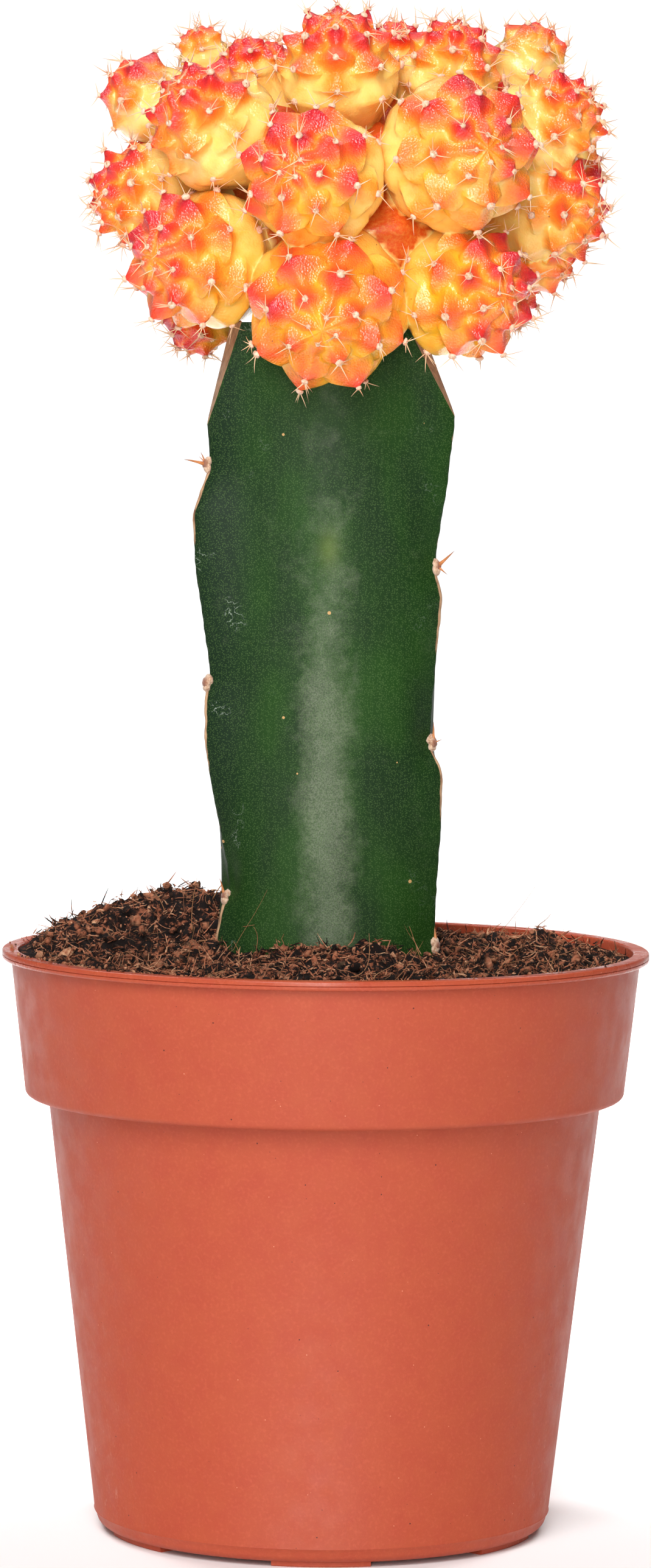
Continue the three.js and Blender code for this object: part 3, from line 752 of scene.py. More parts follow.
def grow_stock():
    angles = stock_angles()
    angle, z = np.meshgrid(angles, np.linspace(STOCK_FOOT, STOCK_TOP, STOCK_LEVELS))
    radius, away = stock_surface(angle, z)
    turn = np.radians(angle)
    grid = polar(radius, turn, z).reshape(-1, 3)
    edge = np.exp(-((away / EDGE_WIDTH) ** 2))
    rough, wavy = (lumps(grid, *kind).reshape(z.shape) for kind in (EDGE_LUMPS, FACE_LUMPS))
    radius = radius + edge * EDGE_ROUGH * rough + FACE_ROUGH * wavy
    points = polar(radius, turn, z).reshape(-1, 3)
    points = np.vstack((points, [(0, 0, STOCK_FOOT), (0, 0, STOCK_TOP)]))
    faces = closed_faces(STOCK_LEVELS, len(angles))
    skin = add_piece("rootstock_skin", points, faces, stock_finish())
    for name, values in skin_layers(angle, z, radius, away, edge).items():
        set_value(skin, name, np.append(values.ravel(), (0, 0)))
    combine(skin, [cut_block(rib) for rib in range(len(RIB_ANGLES))], "DIFFERENCE")
    skin.data.set_sharp_from_angle(angle=math.radians(40))
    mark_shaved(skin)


grow_stock()

# %% [markdown]
# ## Spines and wool
#
# Every areole, on the rootstock and on the scion, is a small pad of felt with a few stiff
# spines. Hair curves would be the quick way, but they are lost when the part is exported.
# So a spine is a thin tapered tube with a slight bend, and a pad is a small lumpy dome. Both
# are made for hundreds of places at once with arrays.

# %% Strands
def square_to(ways):
    """Two directions at right angles to each way and to each other."""
    helper = np.where(np.abs(ways[:, 2:]) < 0.9, (0.0, 0.0, 1.0), (1.0, 0.0, 0.0))
    first = unit(np.cross(ways, helper))
    return first, np.cross(ways, first)


def repeated(faces, size, count):
    """The same faces for each of many things that have `size` points each."""
    return [tuple(i + size * n for i in face) for n in range(count) for face in faces]


def strands(paths, radii, sides):
    """Closed tubes along many paths (path, section, xyz) with a radius at each section."""
    first, second = square_to(unit(paths[:, -1] - paths[:, 0]))
    turns = (2 * np.pi * np.arange(sides) / sides)[None, :, None]
    spokes = np.cos(turns) * first[:, None] + np.sin(turns) * second[:, None]
    rings = paths[:, :, None] + radii[:, :, None, None] * spokes[:, None]
    count, sections = radii.shape
    size = sections * sides
    one = ring_faces(sections, sides)
    one += [tuple(reversed(range(sides))), tuple(range(size - sides, size))]
    return rings.reshape(-1, 3), repeated(one, size, count)


def spine_paths(roots, ways, lengths, bends, sections=4):
    """Paths that leave each root along its way and bend a little to one side."""
    along = np.linspace(0, 1, sections)[None, :, None]
    straight = roots[:, None] + ways[:, None] * lengths[:, None, None] * along
    return straight + bends[:, None] * (lengths[:, None, None] * along**2)


# %% Wool pads
PAD_JITTER, PAD_HEIGHT, PAD_PEAK = 0.3, 0.75, 0.8
PAD_FROM, PAD_TO = -0.35, 1.2  # the angles of a pad's first ring and of its top


def pads(seats, normals, sizes, draw, rings, sides):
    """Lumpy felt domes at seats."""
    lift = np.linspace(PAD_FROM, PAD_TO, rings + 1)[:-1]
    turns = (2 * np.pi * np.arange(sides) / sides)[:, None]
    points, size = [], rings * sides + 1
    for seat, normal, a, b, r in zip(seats, normals, *square_to(normals), sizes):
        jitter = 1 + PAD_JITTER * (draw.random((rings, sides)) - 0.5)
        reach = r * np.cos(lift)[:, None] * jitter
        rise = r * PAD_HEIGHT * np.sin(lift)[:, None] * np.ones(sides)
        ring = seat + reach[..., None] * (np.cos(turns) * a + np.sin(turns) * b)
        ring = ring + rise[..., None] * normal
        points.append(np.vstack((ring.reshape(-1, 3), seat + PAD_PEAK * r * normal)))
    last = (rings - 1) * sides
    one = ring_faces(rings, sides)
    one += [(last + k, last + (k + 1) % sides, size - 1) for k in range(sides)]
    one.append(tuple(reversed(range(sides))))
    return np.vstack(points), repeated(one, size, len(seats))


# %% Felt and spine finishes
def felt_finish(name, pale, dark, worn):
    felt = Finish(name, Roughness=0.9, Sheen_Weight=0.35, Sheen_Roughness=0.5)
    tone = felt.mix(felt.between(felt.noise(0.45, 5, 0.7), 0.35, 0.7), pale, dark)
    tone = felt.mix(felt.value("worn"), tone, worn)
    felt.set(Base_Color=tone, Normal=felt.bump(felt.noise(0.16, 4, 0.7), 0.12, 0.9))
    return felt.material


def spine_finish(name, root, tip):
    thorn = Finish(name, Roughness=0.45)
    thorn.set(Base_Color=thorn.mix(thorn.value("tip"), root, tip))
    return thorn.material


# %% Areoles of the rootstock
PAD_PARTS = ((0.4, 0.3, 0.2), (-0.4, 0.25, 0.1), (0.05, 0.05, 1.0))  # rise, sink and wear
PAD_RINGS, PAD_SIDES = 4, 12
PAD_WEAR = (0, 0.1, 0.5, 0.9)  # how worn each ring of a pad is, from its foot up
SPINE_SIDES, SPINE_TAPER, SPINE_TIPS = 6, (0.34, 0.2, 0.12, 0.02), (0.3, 0.0, 0.4, 1.0)
STOCK_SPINES = (  # at each areole: how far each spine leans out and up, and its length
    (((1, 0.3, 3.3), (0.3, 1, 1.9), (0.7, 0.9, 1.5)), (), ((0.15, 1, 2.6), (0.5, 1, 1.2))),
    (((0.8, 0.8, 3.4), (1, -0.3, 2.0)), ((0.1, 1, 2.8), (0.8, 0.7, 1.4)), ((-0.1, 1, 3.4),)),
    (((1, 0.4, 3.0), (0.2, 1, 2.0)), ((0.6, 0.9, 2.8),), ((0.3, 1, 2.6), (1, 0.1, 1.6))),
)


def stock_wool(seats, normals, worn, draw):
    """Cream felt buttons, worn brown in their middles where the spines stand."""
    tints = colour(232, 200, 170), colour(168, 116, 82), colour(132, 70, 40)
    sizes = draw.uniform(0.62, 0.86, len(seats))
    domes = pads(seats, normals, sizes, draw, PAD_RINGS, PAD_SIDES)
    wool = add_piece("rootstock_wool", *domes, felt_finish("rootstock_wool", *tints))
    levels = np.append(np.repeat(PAD_WEAR, PAD_SIDES), 1.0)
    set_value(wool, "worn", np.outer(worn, levels).ravel())


def stock_areoles():
    draw = np.random.default_rng(7)
    seats, normals, worn, roots, ways, lengths = [], [], [], [], [], []
    for rib, heights in enumerate(STOCK_AREOLES):
        out_way = direction(RIB_ANGLES[rib])
        for z, spines in zip(heights, STOCK_SPINES[rib]):
            for rise, sink, wear in PAD_PARTS:
                seats.append(out_way * (edge_radius(rib, z + rise) - sink) + (0, 0, z + rise))
                normals.append(out_way)
                worn.append(wear)
            for out, up, length in spines:
                roots.append(out_way * edge_radius(rib, z) + (0, 0, z))
                ways.append(out_way * out + (0, 0, up) + draw.normal(0, 0.12, 3))
                lengths.append(length)
    stock_wool(np.array(seats), np.array(normals), np.array(worn), draw)
    roots, ways, lengths = np.array(roots), unit(np.array(ways)), np.array(lengths)
    paths = spine_paths(roots, ways, lengths, draw.normal(0, 0.05, roots.shape))
    taper = np.array(SPINE_TAPER) * np.clip(lengths[:, None] / 3, 0.5, 1)
    brown = spine_finish("rootstock_spines", colour(206, 132, 78), colour(112, 56, 28))
    thorns = add_piece("rootstock_spines", *strands(paths, taper, SPINE_SIDES), brown)
    set_value(thorns, "tip", np.tile(np.repeat(SPINE_TIPS, SPINE_SIDES), len(roots)))


stock_areoles()

# %% [markdown]
# ## The potting mix
#
# Peat is a heap of crumbs, bark flakes and fine roots, and no texture alone looks like it.
# The bed below them follows the solid's heaps, with fractal lumps. Loose crumbs, flakes and
# rootlets then cover it, each a small closed mesh. A particle system would scatter them
# faster, but its copies vanish on export, so they are scattered by a seeded draw instead.

# %% Surface of the mix
MIX_EDGE, MIX_SLOPE = POT_HEIGHT - 1.2, 5.0  # height at the wall, and how far in heaps are full
LEDGE, LEDGE_SLOPE, SEAT_GAP = STEP_HEIGHT + WALL, 0.1, 0.3
MIX_HEAPS = (  # place, rise and spread of the solid's heaps
    (-18, 10, 7.6, 8), (-31, 3, 3, 6), (3, -13, 2.6, 9), (22, 3, 2.2, 8), (25, 21, -2.2, 9),
)
CLUMPS = (  # the same, of clumps and of one hollow
    (29, 9, 2.6, 2.1), (25.5, 13, 1.6, 1.8), (-14.5, -8, 1.0, 2.0), (14.5, -12, -1.4, 4.0),
)
EDGE_CLUMPS = ((-39, -4, 1.15, 9), (-33, 21, 1.0, 8))  # the same, where the mix reaches the lip
MIX_LUMPS = ((4.4, 0.85), (2.1, 0.75), (0.9, 0.4))  # size and rise of the lumps in the mix


def inner_radius(z):
    """The pot's inner radius at a height above its floor."""
    if z < LEDGE:
        share = (z - FOOT_HEIGHT) / (STEP_HEIGHT - FOOT_HEIGHT)
        return BASE_RADIUS + (BODY_TOP - BASE_RADIUS) * share - WALL
    share = (z - STEP_HEIGHT) / (POT_HEIGHT - STEP_HEIGHT)
    return COLLAR_BOTTOM + (COLLAR_TOP - COLLAR_BOTTOM) * share - WALL


def heaped(heaps, x, y):
    """The height that heaps of a given place, rise and spread add up to."""
    return sum(
        rise * np.exp(-((x - cx) ** 2 + (y - cy) ** 2) / (2 * spread**2))
        for cx, cy, rise, spread in heaps
    )


def mix_height(x, y):
    """The height of the solid's heaps."""
    rolls = (
        0.45 * np.sin(0.9 * x + 1.3) * np.sin(0.8 * y + 0.4)
        + 0.3 * np.sin(1.7 * x + 0.6 * y)
        + 0.2 * np.sin(2.3 * y - 1.1 * x + 2)
    )
    inside = smoothstep(0, MIX_SLOPE, inner_radius(MIX_EDGE) - np.hypot(x, y))
    return MIX_EDGE + inside * (heaped(MIX_HEAPS, x, y) + rolls)


def mix_top(x, y):
    """The rough top of the mix: the solid's heaps, with clumps and lumps of peat on them."""
    flat = np.stack((x, y, np.zeros_like(x)), axis=-1).reshape(-1, 3)
    relief = sum(rise * lumps(flat, size, size) for size, rise in MIX_LUMPS).reshape(x.shape)
    away = np.clip((inner_radius(MIX_EDGE) - np.hypot(x, y)) / 1.5, 0, 1)
    at_lip = heaped(EDGE_CLUMPS, x, y)
    return mix_height(x, y) + at_lip + away * (relief + heaped(CLUMPS, x, y))


def in_stock(x, y, z, clearance=0.0):
    """Whether places are inside the rootstock, or nearer to it than a clearance."""
    radius, _ = stock_surface(np.degrees(np.arctan2(y, x)), np.minimum(z, STOCK_TOP))
    return np.hypot(x, y) < radius + clearance


# %% [markdown]
# ### Peat
#
# Damp peat is nearly black, and its dry crumbs and fibres are a warm brown. The bed under the
# crumbs is nearly black all over, as painted shade in the gaps between them.
# One brown with bump looks like felt. So each crumb and fibre stores its own tone, noise
# moves the line between dark and warm, and only the driest ones go pale.

# %% Peat finish
PEAT_DARK_AND_SHADE, PEAT_WARM, PEAT_PALE = colour(20, 9, 6), colour(176, 104, 74), colour(240, 190, 148)


def peat_finish(name):
    peat = Finish(name, Roughness=0.95, Specular_IOR_Level=0.25)
    uneven = peat.plus(peat.noise(1.6, 7, 0.75), peat.times(peat.value("tone"), 0.35))
    tone = peat.mix(peat.between(uneven, 0.52, 0.7), PEAT_DARK_AND_SHADE, PEAT_WARM)
    bare = peat.between(peat.noise(0.5, 3), 0.35, 0.65)
    faded = peat.times(peat.math("POWER", peat.value("tone"), 2.0), bare)
    tone = peat.mix(faded, tone, PEAT_PALE)
    peat.set(Base_Color=tone, Normal=peat.bump(peat.noise(0.3, 5, 0.75), 0.3, 1.0))
    return peat.material


# %% Bed of the mix
BED_RINGS, BED_SIDES = 110, 300
BED_GAP, BED_MIDDLE = 0.06, 0.4  # between the bed and the pot, and the last ring's radius


def lay_bed():
    """A closed plug that fills the pot, with the rough top of the mix."""
    radii = np.linspace(inner_radius(MIX_EDGE) - BED_GAP, BED_MIDDLE, BED_RINGS)[:, None]
    turns = 2 * np.pi * np.arange(BED_SIDES) / BED_SIDES
    x, y = radii * np.cos(turns), radii * np.sin(turns)
    surface = np.stack((x, y, mix_top(x, y)), axis=-1).reshape(-1, 3)
    bottom, seat = FLOOR_TOP + SEAT_GAP, LEDGE + LEDGE_SLOPE + SEAT_GAP
    walls = [  # the height that gives the pot's inner radius, and the ring's own height
        (bottom, bottom), (LEDGE - LEDGE_SLOPE, seat),
        (LEDGE + LEDGE_SLOPE, seat + LEDGE_SLOPE), (MIX_EDGE - 2, MIX_EDGE - 2),
    ]
    rings = [
        polar(inner_radius(inside) - SEAT_GAP, turns, np.full(BED_SIDES, z)) for inside, z in walls
    ]
    middle = mix_height(np.zeros(1), np.zeros(1))[0]
    points = np.vstack(rings + [surface, [(0, 0, bottom), (0, 0, middle)]])
    faces = closed_faces(len(rings) + BED_RINGS, BED_SIDES)
    bed = add_piece("mix_bed", points, faces, peat_finish("peat_bed"))
    # tone 0 makes the bed nearly black: painted shade in the gaps between the crumbs
    set_value(bed, "tone", np.zeros(len(points)))


lay_bed()

# %% [markdown]
# ### Crumbs and flakes
#
# Sieved peat is made of soft crumbs of all sizes, with thin flakes of bark among them. Lumps
# could be pulled out of the bed by a modifier, but real ones overhang and cast small shadows.
# So each is a little ball, stretched, jagged and turned its own way.

# %% Jagged lumps
def ball(subdivisions):
    """Points and triangles of a small round mesh."""
    made = bmesh.new()
    bmesh.ops.create_icosphere(made, subdivisions=subdivisions, radius=1)
    points = np.array([v.co[:] for v in made.verts])
    faces = [tuple(v.index for v in f.verts) for f in made.faces]
    made.free()
    return points, faces


def scatter_places(draw, count, reach, clearance):
    """Random places on the mix, clear of the stock."""
    places = np.empty((0, 2))
    while len(places) < count:
        radius = reach * np.sqrt(draw.random(count))
        turn = 2 * np.pi * draw.random(count)
        x, y = radius * np.cos(turn), radius * np.sin(turn)
        free = ~in_stock(x, y, mix_height(x, y), clearance)
        places = np.vstack((places, np.column_stack((x, y))[free]))
    return places[:count]


def random_turns(draw, count):
    """One random rotation matrix for each of many things."""
    q = unit(draw.normal(size=(count, 4)))
    w, x, y, z = q.T
    rows = (
        (1 - 2 * (y * y + z * z), 2 * (x * y - z * w), 2 * (x * z + y * w)),
        (2 * (x * y + z * w), 1 - 2 * (x * x + z * z), 2 * (y * z - x * w)),
        (2 * (x * z - y * w), 2 * (y * z + x * w), 1 - 2 * (x * x + y * y)),
    )
    return np.moveaxis(np.array(rows), 2, 0)


CRUMB_REACH, CRUMB_LIFT, STOCK_CLEARANCE = 39.0, 0.45, 0.2


def crumbs(draw, places, sizes, shape, subdivisions, jag):
    """Points and faces of jagged lumps lying on the mix."""
    body, body_faces = ball(subdivisions)
    count, each = len(places), len(body)
    stretched = body[None] * (np.array(shape) * draw.uniform(0.6, 1.4, (count, 3)))[:, None]
    stretched = stretched * (1 + jag * draw.uniform(-1, 1, (count, each, 1)))
    lying = np.einsum("nij,npj->npi", random_turns(draw, count), stretched)
    middle = np.column_stack((places, mix_top(*places.T) + CRUMB_LIFT * sizes))
    points = middle[:, None] + lying * sizes[:, None, None]
    return points, repeated(body_faces, each, count)


# %% Scatter the crumbs and flakes
CRUMB_LAYERS = (
    # count, smallest and largest size, shape, detail, jaggedness, tone
    (1000, 0.24, 0.85, (1.0, 0.76, 0.62), 2, 0.36, (0.0, 0.5)),
    (5100, 0.12, 0.36, (1.0, 0.7, 0.55), 1, 0.5, (0.0, 0.9)),
    (170, 0.4, 1.1, (1.4, 0.6, 0.2), 1, 0.3, (0.4, 1.0)),
)
SPILT, SPILT_SIZES, SPILT_SHAPE, SPILT_JAG = 70, (0.12, 0.34), (1, 0.7, 0.5), 0.35  # on the lip
SPILT_TURN, SPILT_SPREAD, SPILT_FROM_RIM = 205, 55, (0.5, 1.7)


def spilt_crumbs(draw):
    """Small crumbs on the flat of the lip, most of them where the mix is heaped."""
    turn = np.radians(draw.normal(SPILT_TURN, SPILT_SPREAD, SPILT))
    reach = RIM_RADIUS - draw.uniform(*SPILT_FROM_RIM, SPILT)
    places = np.column_stack((reach * np.cos(turn), reach * np.sin(turn)))
    sizes = draw.uniform(*SPILT_SIZES, SPILT)
    points, faces = crumbs(draw, places, sizes, SPILT_SHAPE, 1, SPILT_JAG)
    points[..., 2] += (POT_HEIGHT - mix_top(*places.T))[:, None]
    return points, faces, draw.uniform(0.1, 0.8, SPILT)


def lain_crumbs(draw, count, small, large, shape, detail, jag, tone):
    """One layer of crumbs scattered on the mix."""
    places = scatter_places(draw, count, CRUMB_REACH, STOCK_CLEARANCE)
    sizes = small + (large - small) * draw.random(count) ** 2.0
    return *crumbs(draw, places, sizes, shape, detail, jag), draw.uniform(*tone, count)


def scatter_crumbs():
    draw = np.random.default_rng(11)
    layers = [lain_crumbs(draw, *layer) for layer in CRUMB_LAYERS] + [spilt_crumbs(draw)]
    points, faces, tones = [], [], []
    for made, made_faces, tone in layers:
        start = sum(len(each) for each in points)
        points.append(made.reshape(-1, 3))
        faces += [tuple(i + start for i in face) for face in made_faces]
        tones.append(np.repeat(tone, made.shape[1]))
    piece = add_piece("mix_crumbs", np.vstack(points), faces, peat_finish("peat_crumbs"))
    set_value(piece, "tone", np.concatenate(tones))


scatter_crumbs()

# %% [markdown]
# ### Shreds and rootlets
#
# Torn fibres make peat look rough, and a few curled rootlets stand out of it. Hair curves
# would do it in one step, but they are lost on export. So the tubes that made the rootstock's
# spines make these too, thinner and more bent, and they are lifted out of the bed.

# %% Shreds
SHREDS, SHRED_SECTIONS, SHRED_SIDES, SHRED_TAPER = 5200, 4, 3, (0.7, 1.0, 0.9, 0.35)


def lain_on_mix(paths, lift):
    """Keeps strands on top of the mix and inside the pot."""
    paths[..., 2] = np.maximum(paths[..., 2], mix_top(paths[..., 0], paths[..., 1]) + lift)
    reach = np.hypot(paths[..., 0], paths[..., 1])
    paths[..., :2] *= (np.minimum(reach, CRUMB_REACH + 0.5) / reach)[..., None]
    return paths


def shreds():
    """Torn fibres of peat and coir, up to two millimetres long."""
    draw = np.random.default_rng(29)
    places = scatter_places(draw, SHREDS, CRUMB_REACH, STOCK_CLEARANCE)
    roots = np.column_stack((places, mix_top(*places.T) + draw.uniform(0.1, 0.75, SHREDS)))
    ways = unit(draw.normal(size=(SHREDS, 3)) * (1, 1, 0.55))
    lengths = draw.uniform(0.5, 2.1, SHREDS)
    paths = spine_paths(roots, ways, lengths, draw.normal(0, 0.3, roots.shape), SHRED_SECTIONS)
    radii = draw.uniform(0.04, 0.12, (SHREDS, 1)) * np.array(SHRED_TAPER)
    tubes = strands(lain_on_mix(paths, 0.1), radii, SHRED_SIDES)
    piece = add_piece("mix_shreds", *tubes, peat_finish("peat_shreds"), smooth=False)
    tone = draw.random(SHREDS) ** 1.6
    set_value(piece, "tone", np.repeat(tone, SHRED_SIDES * SHRED_SECTIONS))


shreds()

# %% Rootlets
ROOTLETS, STANDING, ROOTLET_SECTIONS, ROOTLET_SIDES = 130, 34, 9, 5
ROOTLET_REACH, ROOTLET_CLEARANCE = 38.0, 1.0
STANDING_BEND, STANDING_THICKER = (0.05, 0, -0.02), 1.5
STANDING_FIBRES = (  # foot, lean and length of the ones that stand out
    ((-17.5, -2), (0.02, 0, 1), 7.6), ((-21, 2), (-0.5, 0, 0.8), 4.2),
    ((-15, 8), (0.6, 0, 0.9), 6.5), ((-8.6, -13.5), (-0.2, -0.2, 1), 4.0),
    ((30, 10), (-0.3, 0, 1), 4.4), ((27, 9), (0.5, 0, 0.9), 5.0),
)


def rootlet_finish():
    fibre = Finish("rootlet", Roughness=0.75)
    fibre.set(Base_Color=fibre.mix(fibre.noise(3), colour(190, 134, 86), colour(104, 60, 38)))
    return fibre.material


def rootlets():
    """Curled rootlets, most of them lying down."""
    draw = np.random.default_rng(17)
    places = scatter_places(draw, ROOTLETS, ROOTLET_REACH, ROOTLET_CLEARANCE)
    ways = np.column_stack((draw.normal(size=(ROOTLETS, 2)), draw.uniform(0.0, 0.2, ROOTLETS)))
    ways = unit(ways)
    ways[:STANDING, 2] += draw.uniform(0.3, 1.4, STANDING)
    lengths = draw.uniform(1.6, 5.5, ROOTLETS)
    bends = draw.normal(0, 0.4, (ROOTLETS, 3))
    for i, (foot, lean, length) in enumerate(STANDING_FIBRES):
        places[i], ways[i], lengths[i], bends[i] = foot, lean, length, STANDING_BEND
    roots = np.column_stack((places, mix_height(*places.T) + 0.3))
    paths = spine_paths(roots, unit(ways), lengths, bends, ROOTLET_SECTIONS)
    along = np.linspace(0, 1, ROOTLET_SECTIONS)[None, :, None]
    wave = along * draw.uniform(3, 9, (ROOTLETS, 1, 1))
    paths += 0.2 * np.sin(wave + draw.uniform(0, 6, (ROOTLETS, 1, 3)))
    radii = draw.uniform(0.035, 0.085, (ROOTLETS, 1)) * np.linspace(1, 0.35, ROOTLET_SECTIONS)
    radii[: len(STANDING_FIBRES)] *= STANDING_THICKER
    tubes = strands(lain_on_mix(paths, 0.15), radii, ROOTLET_SIDES)
    add_piece("mix_rootlets", *tubes, rootlet_finish())


rootlets()

# %% [markdown]
# ## The scion
#
# The coloured cactus grew from one seedling into a mother body crowded with offsets. Each
# offset is a small barrel: ribs run down from a dimpled top, and each rib is broken into
# tubercles that carry an areole. On neighbouring ribs they are staggered, so the grooves
# between ribs run in zigzags. Sculpting 35 heads by hand would take days. One formula for a
# head's radius, used with a different size, place and tilt each time, gives them all.

# %% Heads of the scion
SCION_CENTRE = np.array((2.8, 1.0, 173.5))
SCION_RADIUS, SCION_HALF_HEIGHT = 19.5, 15.0
SWELL = 1.04  # tips stand a little beyond the plain head, and grooves sink below it
NECK_DEPTH = 0.28
SMALL_HEAD = 6.2
FRONT_HEADS = (  # middle, radius, where the top points and how red it has ripened
    ((0.8, -9, 191.6), 7.9, (-0.05, -0.45, 0.9), 0.1),
    ((15.3, -2, 191.7), 6.8, (0.15, -0.25, 0.95), 0.1),
    ((25.9, 8, 193.4), 5.3, (0.45, -0.1, 0.85), -0.45),
    ((-15.6, -11, 184.1), 8.4, (-0.68, -0.45, 0.6), 0.0),
    ((-24.7, 3, 188), 5.7, (-0.7, -0.2, 0.6), 0.1),
    ((-21.8, 6, 187.4), 4.2, (-0.3, -0.1, 0.9), -0.1),
    ((-17.1, 8, 194.1), 3.6, (-0.3, 0, 0.95), -0.4),
    ((-11, 4, 192.4), 3.8, (-0.2, -0.1, 0.95), 0.9),
    ((-8.2, 7, 192.6), 3.2, (0, 0, 1), 0.9),
    ((8.2, 5, 194.2), 4.3, (0, -0.1, 1), 0.4),
    ((-2.6, -21, 177), 9.1, (-0.33, -0.93, 0.13), 0.25),
    ((16.3, -17.5, 180.1), 10.1, (0.39, -0.92, 0.05), 0.1),
    ((28.6, -3, 184.6), 7.2, (0.75, -0.4, 0.5), -0.25),
    ((31, 9, 178.6), 5.3, (0.9, 0.1, 0.2), 0.9),
    ((29, -2.5, 173.4), 7.4, (0.88, -0.4, 0), 0.0),
    ((26.9, 1, 168), 5.8, (0.75, -0.45, -0.4), 0.25),
    ((-24.8, -1.5, 175), 7.1, (-0.88, -0.4, -0.1), 0.0),
    ((-17.3, -12, 166.6), 9.2, (-0.69, -0.72, 0), 0.1),
    ((-0.5, -18, 160.3), 10.6, (-0.06, -0.94, -0.3), 0.0),
    ((17.5, -13, 162.6), 8.8, (0.63, -0.77, -0.1), 0.1),
    ((-17.2, 4.5, 158.5), 4.7, (-0.5, -0.2, -0.85), 0.5),
    ((21.7, 4, 161.8), 4.6, (0.6, -0.1, -0.8), 0.3),
)
CROWN_HEAD = ((1.2, 6.5, 189.5), 6.6, (0, 0.1, 1), 0.1)
REAR_ROWS = (  # height, distance out, radius, upward tilt, first and last angle, count
    (164.5, 20, 7.9, -0.3, 26, 154, 4),
    (176.5, 24, 8.6, 0.1, 36, 156, 4),
    (184.8, 16.5, 7.6, 0.75, 24, 156, 4),
)
REAR_TURN, REAR_RISE, REAR_GROWTH = 3, 2, 0.08  # how much of each the seeded rule adds
# how many ribs, and the degrees from the top to the first areole and from row to row
SMALL_RIBS, LARGE_RIBS, MOTHER_RIBS = (6, 16, 24), (8, 11, 16), (10, 18, 20)


# %% Rear heads and the mother body
def seeded(seed):
    """Random numbers from 0 to 1 that a whole-number rule makes, the same each time."""
    state = seed
    while True:
        state = (state * 1664525 + 1013904223) % 4294967296
        yield state / 4294967296


def upright_turn(top):
    """The rotation that takes the upright axis to a head's own axis the shortest way."""
    axis = np.array(top, float)
    axis /= np.linalg.norm(axis)
    cross = np.array(((0, 0, axis[0]), (0, 0, axis[1]), (-axis[0], -axis[1], 0)))
    return np.eye(3) + cross + cross @ cross / (1 + axis[2])


def head(at, radius, top, ripeness=0.0, twist=0.0, ribs=None, squash=0.9):
    """What makes one head differ from the others."""
    count, first, pitch = ribs or (SMALL_RIBS if radius < SMALL_HEAD else LARGE_RIBS)
    return {
        "at": np.array(at, float), "r": radius, "turn": upright_turn(top), "twist": twist,
        "ribs": count, "first": math.radians(first), "pitch": math.radians(pitch),
        "squash": squash, "ripeness": ripeness,
    }


def rear_heads():
    """The heads that don't show in the front view, from a seeded rule."""
    chance = seeded(21)
    for z, out, radius, up, start, end, count in REAR_ROWS:
        for i in range(count):
            angle = start + (end - start) * i / (count - 1) + REAR_TURN * (2 * next(chance) - 1)
            way = direction(angle, up)
            at = SCION_CENTRE + way * out
            at[2] = z + REAR_RISE * next(chance)
            growth = 1 + REAR_GROWTH * (2 * next(chance) - 1)
            yield at, radius * growth, way, 0.2 * math.sin(5.3 * at[0] + 3.1 * at[2])


twists = seeded(5)
offsets = [
    head(at, radius, top, ripeness, next(twists) * math.pi)
    for at, radius, top, ripeness in (*FRONT_HEADS, CROWN_HEAD, *rear_heads())
]
mother_squash = SCION_HALF_HEIGHT / SCION_RADIUS
mother = head(
    SCION_CENTRE, SCION_RADIUS / SWELL, (0, 0, 1), ribs=MOTHER_RIBS, squash=mother_squash
)
print(len(offsets), "offsets on the mother body")

# %% [markdown]
# ### The form of one head
#
# Each point of a head has an angle from the head's top and a place round it, counted in
# ribs. The rule below says how far that point is from the head's middle. It starts from a
# full, slightly flat ball, sinks a groove between each two ribs, and a saddle between each
# two tubercles of a rib. A displacement picture could do it, but a rule needs no unwrapping,
# and the places of the areoles follow from the same numbers.

# %% Form of one head
FULLNESS = 2.6  # 2 would be an ellipsoid, more has fuller shoulders
GROOVE_DEPTH, TUBERCLE_HEIGHT = 0.17, 0.25
CHIN = 0.03  # how far below its areole a tubercle is fullest, in rows
SLANT = 0.16  # how much lower that is beside the groove
ABOVE_CHIN, UNDER_CHIN = 0.42, 0.34  # how far a tubercle reaches either way, in rows
ZIGZAG = 0.1  # how far grooves swing aside, of the way from rib to rib
RELIEF_OPENING = 1.6
FADE_FROM, FADE_TO = math.radians(80), math.radians(112)  # where the relief fades out
SEAM_DEPTH, SEAM_WIDTH = 0.02, 0.1  # the sharp line along the bottom of a groove
DIMPLE_DEPTH, DIMPLE_REACH = 0.07, math.radians(11)


def plain_radius(shape, theta):
    """A head's radius at an angle from its top, before any ribs are cut into it."""
    across = np.abs(np.sin(theta)) ** FULLNESS
    along = np.abs(np.cos(theta) / shape["squash"]) ** FULLNESS
    return SWELL * shape["r"] / (across + along) ** (1 / FULLNESS)


def groove_column(shape, theta, left):
    """Where the groove after a rib runs, which swings from side to side."""
    row = (theta - shape["first"]) / shape["pitch"]
    return left + 0.5 + ZIGZAG * np.cos(np.pi * (row - left))


def rib_place(shape, theta, column):
    """How far a point is from its rib's crest towards the groove, and how many rows it
    lies below the nearest areole of the rib, from -1 to 1."""
    row = (theta - shape["first"]) / shape["pitch"]
    left = np.floor(column)
    groove = groove_column(shape, theta, left)
    before = column < groove
    after_crest = (column - left) / (groove - left)
    to_next_crest = (left + 1 - column) / (left + 1 - groove)
    below = (row - np.where(before, left, left + 1) + 1) % 2 - 1
    return np.where(before, after_crest, to_next_crest), below


def fullness(toward, below):
    """How full a tubercle is: 1 at its pointed chin, near 0 in the saddle between two."""
    past = below - CHIN - SLANT * toward
    past = np.abs(past) / np.where(past < 0, ABOVE_CHIN, UNDER_CHIN)
    return 1 / (1 + past**1.3)


